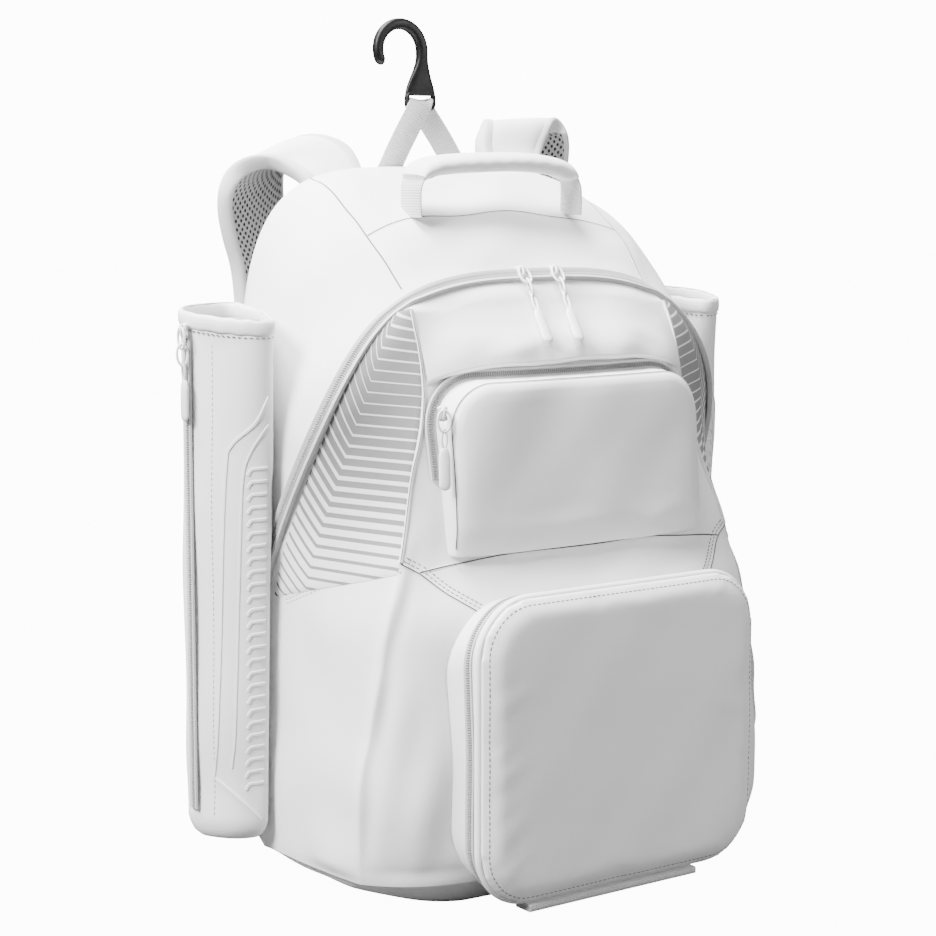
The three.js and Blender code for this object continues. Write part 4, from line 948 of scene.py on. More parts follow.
# The gusset: rounded loops from the front's surface out to the flap, whose depth runs as share^1.5.
def makeCompartment():
    rows = []
    for share in np.linspace(0, 1, 16):
        loop = roundLoop(mix(flap["gussetHalf"], flap["halfWidth"] - 1, share),
                         mix(flap["gussetLow"], flap["low"] + 1, share),
                         mix(flap["gussetHigh"], flap["high"] - 1, share),
                         mix(flap["gussetCorner"], flap["corner"], share))
        depth = mix(frontDepthAt(loop[:, 0], loop[:, 1]) + 1.0, flap["face"] + flap["thick"] - 2.4,
                    share ** 1.5)
        rows.append(np.stack([loop[:, 0], depth, loop[:, 1]], 1))
    grid = np.stack(rows)
    gusset = gridPiece("compartmentGusset", grid, wrap=True, outFrom=(0, -100, 110))
    dress(gusset, coatedCloth, ["compartment_gusset"])
    out = gridNormals(grid, True)
    if (out * (grid - np.array([0, -100, 110]))).sum() < 0:
        out = -out
    # the zip runs round the gusset close to the flap and stays open along the bottom
    row, end = 11, 18
    line, normals = evenly(grid[row, end:-end], 420, out[row, end:-end])
    zipAlong("flapZip", line, unit(normals), 7.0, 0.2, 0.9, 2.2, [])
    # piping between gusset and flap, and the dark seam where the gusset meets the body
    loop = roundLoop(flap["halfWidth"] - 0.6, flap["low"] + 0.6, flap["high"] - 0.6, flap["corner"])
    edge = evenly(upright(np.concatenate([loop, loop[:1]]), flap["face"] + flap["thick"] - 1.2), 420)
    piping = gridPiece("flapPiping", rod(edge, (0, 1, 0), 6.4, 4.6, 10), wrap=True)
    turnOutward(piping)
    dress(piping, coatedCloth)
    # piping between gusset and flap, and the seam where the gusset meets the body, its fold darkened with
    # painted shade
    profile = np.array([(-1.4, -0.6), (-0.7, 0.5), (0, 0.15), (0.7, 0.5), (1.4, -0.6)])
    closed = np.concatenate([grid[0], grid[0][:1]])
    seams.append((carry(closed + np.array([0, -0.6, 0]), np.concatenate([out[0], out[0][:1]]), profile), 5))


def roundedDistance(x, z, halfWidth, low, high, corner):  # negative inside the rounded rectangle
    qx = np.abs(x) - (halfWidth - corner)
    qz = np.abs(z - (low + high) / 2) - ((high - low) / 2 - corner)
    return np.hypot(np.maximum(qx, 0), np.maximum(qz, 0)) + np.minimum(np.maximum(qx, qz), 0) - corner


# Cloth over foam: the closed shape is remeshed evenly, blown up a little by Blender's cloth with its
# motion capped, then kept as a plain mesh.
def puff(piece, voxel, pressure, cap, free=None):
    remesh = piece.modifiers.new("even", "REMESH")
    remesh.mode = "VOXEL"
    remesh.voxel_size = voxel
    graph = bpy.context.evaluated_depsgraph_get()
    even = bpy.data.meshes.new_from_object(piece.evaluated_get(graph))
    piece.modifiers.clear()
    piece.data = even
    rest = np.zeros(len(even.vertices) * 3)
    even.vertices.foreach_get("co", rest)
    cloth = piece.modifiers.new("cloth", "CLOTH")
    cloth.settings.use_pressure = True
    cloth.settings.uniform_pressure_force = pressure
    cloth.settings.tension_stiffness = cloth.settings.compression_stiffness = 14.0
    cloth.settings.effector_weights.gravity = 0.0
    cloth.settings.quality = 5
    cloth.collision_settings.use_collision = False
    for step in range(1, 21):
        scene.frame_set(step)
    graph = bpy.context.evaluated_depsgraph_get()
    blown = piece.evaluated_get(graph).data
    moved = np.zeros(len(blown.vertices) * 3)
    blown.vertices.foreach_get("co", moved)
    piece.modifiers.clear()
    scene.frame_set(1)
    travel = (moved - rest).reshape(-1, 3)
    travel -= travel.mean(0)
    size = np.linalg.norm(travel, axis=1, keepdims=True)
    travel *= np.minimum(1.0, cap * 0.001 / np.maximum(size, 1e-9))
    if free:  # the share of the sideways motion that each point may make
        travel[:, [0, 2]] *= free(rest.reshape(-1, 3) * 1000)[:, None]
    rest = rest + travel.ravel()
    return even, rest.reshape(-1, 3) * 1000


# Gives a puffed piece its last points, a UV map and one level of smoothing.
def finishPuffed(piece, mesh, points):
    mesh.vertices.foreach_set("co", (points * 0.001).astype(np.float32).ravel())
    addBoxUv(mesh)
    mesh.polygons.foreach_set("use_smooth", np.ones(len(mesh.polygons), bool))
    mesh.update()
    finer = piece.modifiers.new("finer", "SUBSURF")
    finer.levels = finer.render_levels = 1


# The flap: rounded loops from its back to its face, puffed, then pressed in along its stitches by a
# Gaussian of the distance from them.
def makeFlap():
    outline = [(9, 0), (3, 0.06), (0.6, 0.3), (0.4, 0.62), (2.0, 0.86), (6, 0.97), (14, 1.0), (40, 1.02),
               (80, 1.03)]
    rows = []
    for inset, share in outline:
        loop = roundLoop(flap["halfWidth"] - inset, flap["low"] + inset, flap["high"] - inset,
                         max(flap["corner"] - inset, 6))
        rows.append(upright(loop, flap["face"] + flap["thick"] * (1 - share) + 0.3))
    piece = gridPiece("frontFlap", np.stack(rows), wrap=True, caps=True, outFrom=(0, -116, 110))

    def inside(points):  # distance from the rim, negative inside it
        return roundedDistance(points[:, 0], points[:, 2], flap["halfWidth"], flap["low"], flap["high"],
                               flap["corner"])

    # the rim is sewn, so that it keeps its outline
    mesh, points = puff(piece, flap["voxel"], flap["pressure"], flap["cap"],
                        lambda points: ease((-inside(points) - flap["rimHold"]) / flap["rimFade"]))
    front = ease((-116 - points[:, 1]) / 3)
    inner = inside(points)
    sewn = np.exp(-((inner + flap["stitchInset"]) / 2.0) ** 2)
    puffed = 1.2 * ease((-inner - 5) / 9)
    points[:, 1] += front * (1.4 * sewn - puffed)
    near = front * ease((-inner - 5) / 8)
    pull = [((-108, -122, 100), (1, 0, 0.5), 20, 6, 1.0), ((-106, -122, 60), (1, 0, 0.6), 18, 6, 0.9),
            ((-108, -122, 150), (1, 0, 0.35), 22, 6, 0.9),
            ((-104, -122, 32), (1, 0, 0.8), 16, 5, 0.8), ((104, -122, 120), (1, 0, -0.4), 18, 6, 0.7),
            ((20, -122, 204), (1, 0, -0.9), 14, 7, 0.6)]
    points[:, 1] -= near * (0.55 * softCreases(points, pull) + rumple(points, 0.3))
    finishPuffed(piece, mesh, points)
    dress(piece, coatedCloth, ["front_flap"])
    # stitches follow the flap's own surface
    surface = surfaceOf(piece)
    inset = flap["stitchInset"]
    loop = roundLoop(flap["halfWidth"] - inset, flap["low"] + inset, flap["high"] - inset,
                     flap["corner"] - inset)
    loop = np.concatenate([loop, loop[:1]])
    line, normals = dropOn(surface, np.stack([loop[:, 0], np.full(len(loop), -160.0), loop[:, 1]], 1),
                           (0, 1, 0))
    line, normals = evenly(line, int(lengthAlong(line)[-1] / 2), normals)
    stitches.append(barsAlong(line, unit(normals), 4.0, 3.0, 0.9, 0.6, 0.0, 0.0, 0.25))


# UV in metres from a vertex's own place, along the two axes that its face lies in most.
def addBoxUv(mesh):
    layer = mesh.uv_layers.get("UVMap") or mesh.uv_layers.new(name="UVMap")
    count = len(mesh.vertices)
    points = np.zeros(count * 3)
    mesh.vertices.foreach_get("co", points)
    points = points.reshape(-1, 3)
    normals = np.zeros(len(mesh.polygons) * 3)
    mesh.polygons.foreach_get("normal", normals)
    normals = np.abs(normals.reshape(-1, 3))
    totals = np.zeros(len(mesh.polygons), np.int32)
    mesh.polygons.foreach_get("loop_total", totals)
    index = np.zeros(len(mesh.loops), np.int32)
    mesh.loops.foreach_get("vertex_index", index)
    axis = np.repeat(normals.argmax(1), totals)
    p = points[index]
    u = np.where(axis == 0, p[:, 1], p[:, 0])
    v = np.where(axis == 2, p[:, 1], p[:, 2])
    layer.data.foreach_set("uv", np.stack([u, v], 1).astype(np.float32).ravel())


def surfaceOf(piece):  # its finished mesh, ready for rays
    graph = bpy.context.evaluated_depsgraph_get()
    graph.update()
    return BVHTree.FromObject(piece, graph)


def dropOn(surface, starts, way):  # where rays from the starts meet a surface, with its normals
    found, normals = [], []
    for start in starts:
        hit, normal, _, _ = surface.ray_cast(Vector(start) * 0.001, Vector(way))
        found.append(tuple(hit * 1000) if hit else (np.nan,) * 3)
        normals.append(tuple(normal) if hit else (np.nan,) * 3)
    found, normals = np.array(found), np.array(normals)
    good = ~np.isnan(found[:, 0])
    return found[good], normals[good]


def makeBottomTab():  # a flat bar of webbing under the flap, its section carried along x
    x = np.linspace(-84, 67, 40)
    line = np.stack([x, np.full(40, -113.0), np.full(40, 3.2)], 1)
    normals = np.tile((0.0, 0.0, -1.0), (40, 1))
    profile = [(-8.5, -1.6), (-8.5, 1.6), (-7.6, 2.6), (7.6, 2.6), (8.5, 1.6), (8.5, -1.6), (7.6, -2.6),
               (-7.6, -2.6)]
    tab = gridPiece("bottomTab", carry(line, normals, profile), wrap=True, caps=True)
    dress(tab, paleWebbing, ["bottom_tab"])


makeCompartment()
makeFlap()
makeBottomTab()
print("lower compartment made")

# Upper pocket, its zip and its hood
pocket = {
    "halfWidth": 111.0, "low": 242.8, "high": 362.0, "corner": 34.0, "lowCorner": 2.5,
    "faceLow": -83.0, "faceHigh": -74.0, "round": 7.0,
    "hoodLift": 8.5, "hoodRise": 44.0, "lip": 374.5, "zipEnd": 292.0, "zipGap": 4.5,
}


# The pocket: rounded loops that rise from the front's surface to the face, whose plane falls back as
# round (x / half width)^4 at its sides.
def makePocket():
    steps = [(-0.5, -0.12), (0, 0.1), (0.3, 0.5), (1.2, 0.8), (3.5, 0.93), (8, 0.985), (16, 1.0),
             (28, 1.012), (42, 1.02)]
    rings = []
    for inset, share in steps:
        loop = roundLoop(pocket["halfWidth"] - inset, pocket["low"] + inset * 0.25, pocket["high"] - inset,
                         max(pocket["corner"] - inset, 3),
                         max(pocket["lowCorner"] - inset * 0.3, 1.5), 22, 12)
        rings.append((loop, share))
    middle = rings[-1][0].mean(0)  # the rest of the face closes in on its middle
    rings += [(mix(loop, middle, t), 1.02) for t in np.linspace(0.08, 0.97, 14)]
    rows = []
    for loop, share in rings:
        x, z = loop.T
        foot = frontDepthAt(x, z) - 0.6
        plane = mix(pocket["faceLow"], pocket["faceHigh"],
                    (z - pocket["low"]) / (pocket["high"] - pocket["low"]))
        face = plane + pocket["round"] * np.abs(x / pocket["halfWidth"]) ** 4
        tuck = ease((z - pocket["low"]) / 22)  # near its lower seam the face comes down onto the shelf
        face = mix(np.minimum(foot - 1.5, face + 4), face, tuck)
        rows.append(np.stack([x, mix(foot, face, share), z], 1))
    grid = np.stack(rows)
    out = np.array([0.0, -1.0, 0.0])
    depth = ease(np.arange(len(grid)) / 6)[:, None]
    grid = grid + out * ((rumple(grid, 1.1) + softCreases(grid, [
        ((-92, -78, 285), (0.2, 0, 1), 34, 6, 0.9), ((66, -80, 258), (1, 0, 0.3), 30, 8, 0.7),
        ((-40, -82, 256), (1, 0, 0.1), 44, 8, 0.7), ((94, -76, 300), (0, 0, 1), 34, 6, 0.7)]))
        * depth)[..., None]
    piece = gridPiece("upperPocket", grid, wrap=True, outFrom=(0, -40, 300))
    dress(closeEnd(piece, grid), coatedCloth, ["upper_pocket"])
    # piping line where the pocket's side meets its face
    edge = grid[3]
    normals = gridNormals(grid, True)[3]
    if (normals * (edge - np.array([0, -40, 300]))).sum() < 0:
        normals = -normals
    low = 22 + 12  # points on half its lower edge and a corner
    line, normals = evenly(edge[low:-low], 230, normals[low:-low])
    profile = np.array([(-1.1, -0.4), (-0.5, 0.45), (0, 0.1), (0.5, 0.45), (1.1, -0.4)])
    seams.append((carry(line, unit(normals), profile), 5))


def makePocketZip():  # along a loop just outside the pocket, above the height where it stops
    loop = roundLoop(pocket["halfWidth"] + pocket["zipGap"], pocket["low"] - 4, pocket["high"] + 3.0,
                     pocket["corner"] + 4, 10.0, 22, 12)
    x, z = loop[loop[:, 1] > pocket["zipEnd"]].T
    line = evenly(np.stack([x, frontDepthAt(x, z) - 1.0, z], 1), 170)
    normals = np.tile((0.0, -1.0, 0.18), (len(line), 1))
    zipAlong("pocketZip", line, unit(normals), 8.0, 0.4, 1.4, 2.4, ["pocket_zip"])


# The hood is the front's own cloth drawn out over the pocket: from the surface above it leans out
# as sin^1.6 to its lip, then tucks straight back under.
def makeHood():
    share = np.linspace(-1, 1, 90)
    x = share * (pocket["halfWidth"] + 2)
    lip = pocket["lip"] - 2.6 * share ** 2 - 9.5 * np.abs(share) ** 6 + 1.5 * np.exp(-((share
                                                                                        - 0.35) / 0.3) ** 2)
    lip = lip + 0.6 * np.sin(share * 11 + 1.0) * (1 - share ** 2)
    lift = pocket["hoodLift"] * (1 - 0.75 * np.abs(share) ** 5) + 0.5 * np.sin(share * 15 + 0.4)
    rows = []
    for t in np.linspace(0, 1, 22):
        z = mix(lip + pocket["hoodRise"] * (1 - 0.25 * share ** 2), lip, t)
        base = frontDepthAt(x, z)
        rise = lift * (0.5 - 0.5 * math.cos(math.pi * t)) ** 1.15
        fold = 0.9 * ease((t - 0.35) * 2) * np.sin(share * 14 + t * 2.2) * (1 - share ** 2)
        rows.append(np.stack([x, base - 0.25 - rise - fold, z], 1))
    for angle in np.linspace(0.25, 1.0, 6) * math.pi:  # the rounded lip
        z = lip - 1.8 * (1 - math.cos(angle)) - 0.6
        y = rows[21][:, 1] - 1.2 * math.sin(angle) + 1.8 * (1 - math.cos(angle))
        rows.append(np.stack([x, y, z], 1))
    under = rows[-1]
    for t in (0.35, 0.7, 1.0):
        z = under[:, 2] + 2.0 * t
        rows.append(np.stack([x, mix(under[:, 1], frontDepthAt(x, z) - 0.2, t), z], 1))
    piece = gridPiece("pocketHood", np.stack(rows), outFrom=(0, -10, 400), sharp=1.4)
    dress(piece, coatedCloth, ["pocket_hood"])


makePocket()
makePocketZip()
makeHood()
print("upper pocket made")

# Bat sleeves
sleeve = {
    "span": 237.0, "frontY": 22.0, "footY": 37.0, "rearY": 110.0, "edgeY": 71.0, "low": 33.0, "high": 408.0,
    "clear": 5.5,
    "hem": 11.0, "wall": 2.0, "ribPitch": 9.0,
}


# Half width of the gusset at depths y and height z, read from the shell's right side.
def gussetHalfAt(y, z):
    bottom, side = frontGrid.shape[1], frontGrid.shape[0] - 2
    half = shellGrid[:body["gussetSteps"], bottom - 1:bottom + side + 12]
    xs, ys = [], []
    for row in half:
        order = np.argsort(row[:, 2])
        xs.append(np.interp(z, row[order, 2], row[order, 0]))
        ys.append(np.interp(z, row[order, 2], row[order, 1]))
    return np.interp(y, np.array(ys), np.array(xs))


# A sleeve's outline at a height: its inner side keeps clear of the gusset, and two quadratic curves
# run from there to the zip on its outer edge.
def sleeveLoop(z, inset=0.0):
    clear = sleeve["clear"] + 3.2 * float(ease((z - sleeve["high"] + 90) / 60))
    frontY = mix(sleeve["footY"], sleeve["frontY"], (z - sleeve["low"]) / (sleeve["high"] - sleeve["low"]))
    y = np.linspace(frontY + inset, sleeve["rearY"] - 3 - inset, 24)
    free = mix(196.5, 166.0, (y - sleeve["frontY"]) / 85)  # above the bulge it stands off the body
    inner = np.stack([np.maximum(gussetHalfAt(y, min(z, 420)) + clear, free) + inset, y, np.full(24, z)], 1)
    outside = sleeve["span"] - inset
    front = np.array([inner[0, 0] + 3, frontY + inset, z])
    edge = np.array([outside, sleeve["edgeY"], z])
    rear = np.array([inner[-1, 0] + 3, sleeve["rearY"] - inset, z])
    t = np.linspace(0, 1, 22)[:, None]
    bezier = lambda a, b, c: (1 - t) ** 2 * a + 2 * t * (1 - t) * b + t ** 2 * c
    fore = bezier(front, np.array([outside - 13, frontY + inset, z]), edge)
    aft = bezier(edge, np.array([outside, sleeve["rearY"] - inset, z]), rear)
    loop = np.concatenate([inner, aft[::-1], fore[::-1][1:-1]])
    soft = loop.copy()
    for _ in range(2):
        soft = (np.roll(soft, 1, 0) + 2 * soft + np.roll(soft, -1, 0)) / 4
    return soft


# A sleeve: its outlines stacked up and closed below, a lining a wall's thickness inside, the hem as
# a flattened hoop of superellipse section, the stitches and the zip.
def makeSleeve(sign, name):
    floor = sleeve["low"] + 14
    heights = np.concatenate([np.linspace(sleeve["high"], sleeve["high"] - sleeve["hem"], 5),
                              np.linspace(sleeve["high"] - sleeve["hem"] - 3, floor, 70)])
    tilt = lambda loop: loop + np.stack([0 * loop[:, 0], 0 * loop[:, 0],
                                         0.09 * (loop[:, 1] - 66) * ease((loop[:, 2] - 330) / 70)], 1)
    outer = [tilt(sleeveLoop(z)) for z in heights]
    middle = outer[-1].mean(0)
    foot = []
    for share, drop in ((0.05, 5), (0.13, 9.5), (0.25, 12.5), (0.45, 14), (0.7, 14), (0.95, 14)):
        loop = mix(outer[-1], middle, share)
        loop[:, 2] = floor - drop
        foot.append(loop)
    outer = np.stack(outer + foot)
    fade = ease(np.arange(len(outer)) / 8) * ease((len(outer) - 4 - np.arange(len(outer))) / 10)
    out = gridNormals(outer, True)
    centre = outer.mean(1, keepdims=True)
    out = out * np.sign((out * (outer - centre)).sum(-1, keepdims=True))
    outward = ease((outer[..., 0] - 196) / 14)
    sag = 1.5 * np.sin(outer[..., 2] / 26 + outer[..., 1] / 30) * np.exp(-((outer[..., 2] - 60) / 50) ** 2)
    rise = (rumple(outer, 0.9, (1, 1, 0.6), sign) + sag) * fade[:, None] * outward
    outer = outer + out * rise[..., None]
    inner = [tilt(sleeveLoop(z, sleeve["wall"]))
             for z in (sleeve["high"], sleeve["high"] - 20, 300, 150, floor + 4)]
    last = inner[-1]
    inner.append(np.concatenate([mix(last[:, :2], last[:, :2].mean(0), 0.9), last[:, 2:]], 1))
    inner = np.stack(inner)
    flip = np.array([sign, 1, 1])
    pocketOuter = gridPiece("batSleeve" + name, outer * flip, wrap=True, outFrom=outer.mean((0, 1)) * flip)
    dress(closeEnd(pocketOuter, outer), coatedCloth, ["bat_sleeve_" + name.lower()])
    lining = gridPiece("sleeveLining" + name, inner * flip, wrap=True, outFrom=inner.mean((0, 1)) * flip)
    lining.data.flip_normals()
    dress(lining, innerCloth)
    # hem: cloth folded over the rim, a flattened hoop
    hemPoints = []
    for a in np.linspace(0, 2 * math.pi, 16, endpoint=False):
        grow = 2.3 * math.cos(a)
        lifted = tilt(sleeveLoop(sleeve["high"] - sleeve["hem"] / 2, sleeve["wall"] / 2 - 0.4 - grow))
        height = sleeve["hem"] / 2 * math.copysign(abs(math.sin(a)) ** 0.6, math.sin(a))
        hemPoints.append(lifted + np.array([0, 0, height]))
    hem = np.stack(hemPoints + hemPoints[:1])
    hem = hem + (0.35 * np.sin(np.arange(hem.shape[1]) * 1.3) * np.array([[0.0], [0.0], [1.0]])).T[None]
    hemPiece = gridPiece("sleeveHem" + name, hem * flip, wrap=True)
    turnOutward(hemPiece)
    dress(hemPiece, coatedCloth, ["sleeve_hem_" + name.lower()])
    sew = tilt(sleeveLoop(sleeve["high"] - sleeve["hem"] - 1.5, -0.5)) * flip
    sew = np.concatenate([sew, sew[:1]])
    sewOut = unit(sew - sew.mean(0))
    stitches.append(barsAlong(*evenly(sew, 300, sewOut), 4.2, 2.6, 0.8, 0.5))
    # the zip down the outer edge, and the stitches beside it
    z = np.linspace(394, 56, 180)
    line = np.stack([np.full(180, sleeve["span"] + 0.2), np.full(180, sleeve["edgeY"]), z], 1) * flip
    normals = np.tile((sign * 1.0, 0.0, 0.0), (180, 1))
    zipAlong("sleeveZip" + name, line, normals, 9.0, 0.3, 1.2, 2.2, ["sleeve_zip_" + name.lower()])
    column = 24 + 22 + 4  # the fifth on the fore curve
    front = outer[:, column] * flip
    sidewards = unit((outer[:, column] - centre[:, 0]) * flip * np.array([1, 1, 0]))
    keep = (front[:, 2] < 392) & (front[:, 2] > 52)
    paleStitches.append(barsAlong(*evenly(front[keep], 240, sidewards[keep]), 4.0, 2.5, 0.8, 0.5))
    return outer * flip, out * flip


# Raised print on a sleeve's front face: an outline and a ladder of short ribs along the body.
def makeRibs(grid, out, sign, name):
    grid, out = grid[:, 45:], out[:, 45:]  # the columns of its front face
    columns = np.arange(grid.shape[1])
    parts = []
    base = 1.0 if gridNormals(grid)[30, 8] @ out[30, 8] > 0 else -1.0
    normals = gridNormals(grid) * base
    profile = np.array([(-0.5, -0.3), (-0.3, 0.8), (0.3, 0.8), (0.5, -0.3)])

    def at(x, z):  # row and column of a place (x, z) on the grid
        row = np.interp(-z, -grid[:, 8, 2], np.arange(len(grid)))
        across = readGrid(grid, np.stack([np.full(len(columns), row), columns], 1))[:, 0] * sign
        return row, np.interp(-x, -across, columns)

    def ridge(cells, width=2.2, high=1.0):
        track = spline(cells, np.linspace(0, len(cells) - 1, 20 * len(cells)))
        line, lineOut = readGrid(grid, track), readGrid(normals, track)
        line, lineOut = evenly(line, max(4, int(lengthAlong(line)[-1] / 2)), lineOut)
        strip = carry(line, unit(lineOut), profile * np.array([width, high]))
        parts.append((strip.reshape(-1, 3), gridFaces(len(line), 4)))

    ridge([at(200, 352), at(209, 334), at(221, 318), at(224, 300), at(226, 220), at(228, 120), at(229, 80)],
          2.4, 1.1)
    ridge([at(200, 332), at(212, 312), at(216, 290), at(218, 220), at(220, 120), at(221, 88)], 1.8, 0.9)
    ridge([at(229, 80), at(214, 62), at(203, 50)], 2.4, 1.1)
    for z in np.arange(76, 306, sleeve["ribPitch"]):
        ridge([at(201, z + 1), at(206, z + 0.5), at(211, z), at(213, z - 4)], 2.6)
    points, faces = joined(parts)
    piece = meshPiece("sleeveRibs" + name, points, faces)
    turnOutward(piece)
    dress(piece, coatedCloth)


for sign, name in ((-1, "Left"), (1, "Right")):
    sleeveGrid, sleeveOut = makeSleeve(sign, name)
    makeRibs(sleeveGrid, sleeveOut, sign, name)
print("sleeves made")

# Mesh pocket on the right side: how far it bellies out, and the rows and columns of the front it covers
meshPocket = {"rise": 19.0, "rows": (13, 61), "columns": (2, 14)}


# The mesh pocket: a patch of the front's surface pushed out by a bulge that is tallest near its foot,
# with its rim and front edge bound.
def makeMeshPocket():
    low, high = meshPocket["rows"]
    first, last = (2 * body["insideColumns"] + body["sideColumns"] + k for k in meshPocket["columns"])
    patch, out = frontGrid[low:high + 1, first:last + 1], frontOut[low:high + 1, first:last + 1]
    r = np.linspace(0, 1, patch.shape[0])[:, None]
    c = np.linspace(0, 1, patch.shape[1])[None]
    bulge = ease(r * 4) * (1 - 0.75 * r ** 2) * np.sin(math.pi * c ** 0.7) ** 0.5
    rise = 1.2 + meshPocket["rise"] * bulge + 0.8 * np.sin(r * 30 + c * 6) * bulge
    sheet = patch + out * rise[..., None]
    piece = gridPiece("meshPocket", sheet, outFrom=insideBody)
    dress(piece, pocketMesh, ["mesh_pocket"])
    rim, rimOut = evenly(sheet[-1], 60, out[-1])
    binding = gridPiece("meshBinding", rod(rim, rimOut, 3.0, 7.0), wrap=True, caps=True)
    dress(binding, bindingCloth)
    edge, edgeOut = evenly(sheet[:, 0], 110, out[:, 0])
    piping = gridPiece("meshPiping", rod(edge, edgeOut, 3.0, 6.0), wrap=True, caps=True)
    dress(piping, bindingCloth)


makeMeshPocket()

# Back pad and shoulder straps
backPad = {"halfWidth": 138.0, "low": 62.0, "high": 470.0, "corner": 46.0, "y": 117.6, "thick": 10.0,
           "pressure": 4.0, "cap": 4.0, "voxel": 0.006, "channel": 12.0}


# The back pad: puffed like the flap, with a channel down its middle and three slanted ones across,
# each pressed in by a Gaussian of the distance from it.
def makeBackPad():
    rows = []
    for inset, share in ((8, 0), (2.5, 0.05), (0.5, 0.3), (0.8, 0.6), (3, 0.86), (8, 0.97), (18, 1.0),
                         (60, 1.0), (110, 1.0)):
        loop = roundLoop(backPad["halfWidth"] - inset, backPad["low"] + inset, backPad["high"] - inset,
                         max(backPad["corner"] - inset, 8))
        rows.append(upright(loop, backPad["y"] + backPad["thick"] * share))
    piece = gridPiece("backPad", np.stack(rows), wrap=True, caps=True, outFrom=(0, 122, 266))
    mesh, points = puff(piece, backPad["voxel"], backPad["pressure"], backPad["cap"])
    x, z = points[:, 0], points[:, 2]
    rear = ease((points[:, 1] - 121) / 4)
    inner = -roundedDistance(x, z, backPad["halfWidth"], backPad["low"], backPad["high"], backPad["corner"])
    middle = np.exp(-(x / backPad["channel"]) ** 4)
    cross = sum(np.exp(-((z - level - 0.25 * np.abs(x)) / 5.0) ** 2) for level in (150, 240, 330))
    puffed = 3.0 * ease(inner / 30)
    points[:, 1] += rear * (puffed - 5.5 * middle - 3.6 * cross * (1 - middle) * ease(inner / 20))
    points[:, 1] = np.minimum(points[:, 1], backPad["y"] + backPad["thick"] + 5)
    finishPuffed(piece, mesh, points)
    dress(piece, backMesh, ["back_pad"])
    loop = roundLoop(backPad["halfWidth"] - 1, backPad["low"] + 1, backPad["high"] - 1, backPad["corner"])
    loop = np.concatenate([loop, loop[:1]])
    line = np.stack([loop[:, 0], np.full(len(loop), backPad["y"] + 2.0), loop[:, 1]], 1)
    line = evenly(line, 500)
    piping = gridPiece("backPiping", rod(line, (0, 1, 0), 4.2, 4.2, 10), wrap=True)
    turnOutward(piping)
    dress(piping, bindingCloth)


strap = {"span": 167.0, "reach": 52.0, "peak": 531.0, "drop": 317.0, "thick": 12.0, "y": 117.6,
         "binding": 8.5}
# outer edge (out, back, drop), inner edge (out, back, drop), the right strap's extra rise at each edge
strapEdges = np.array([
    (0.659, -0.022, 0.140, 0.341, -0.022, 0.140, 0, 0), (0.659, 0.01, 0.105, 0.341, 0.01, 0.098, 0.01, 0),
    (0.731, 0.30, 0.073, 0.359, 0.26, 0.035, 0.03, 0.01),
    (0.836, 0.41, 0.066, 0.431, 0.51, 0.012, 0.09, 0.03),
    (0.925, 0.47, 0.088, 0.515, 0.78, 0.018, 0.115, 0.04),
    (0.965, 0.52, 0.127, 0.575, 0.97, 0.059, 0.11, 0.04),
    (0.965, 0.58, 0.177, 0.587, 1, 0.127, 0.085, 0.035),
    (0.935, 0.62, 0.240, 0.563, 0.99, 0.222, 0.045, 0.02),
    (0.890, 0.66, 0.312, 0.515, 0.96, 0.312, 0.012, 0.01), (0.874, 0.66, 0.413, 0.479, 0.85, 0.413, 0, 0),
    (0.874, 0.62, 0.587, 0.467, 0.73, 0.587, 0, 0), (0.887, 0.55, 0.792, 0.515, 0.58, 0.792, 0, 0),
    (0.86, 0.48, 0.99, 0.64, 0.49, 1.004, 0, 0),
])


def strapLines(sign, count=170):  # both edges of a strap, smoothed from the table of shares
    lift = 1.0 if sign > 0 else 0.0
    t = np.linspace(0, len(strapEdges) - 1, count)
    table = spline(strapEdges, t)
    for _ in range(6):
        table[1:-1] = (table[:-2] + 2 * table[1:-1] + table[2:]) / 4
    place = lambda a, rise: np.stack([
        sign * table[:, a] * strap["span"],
        strap["y"] + table[:, a + 1] * strap["reach"] + strap["thick"] / 2,
        strap["peak"] - (table[:, a + 2] - table[:, rise] * lift) * strap["drop"]], 1)
    return place(0, 6), place(3, 7)


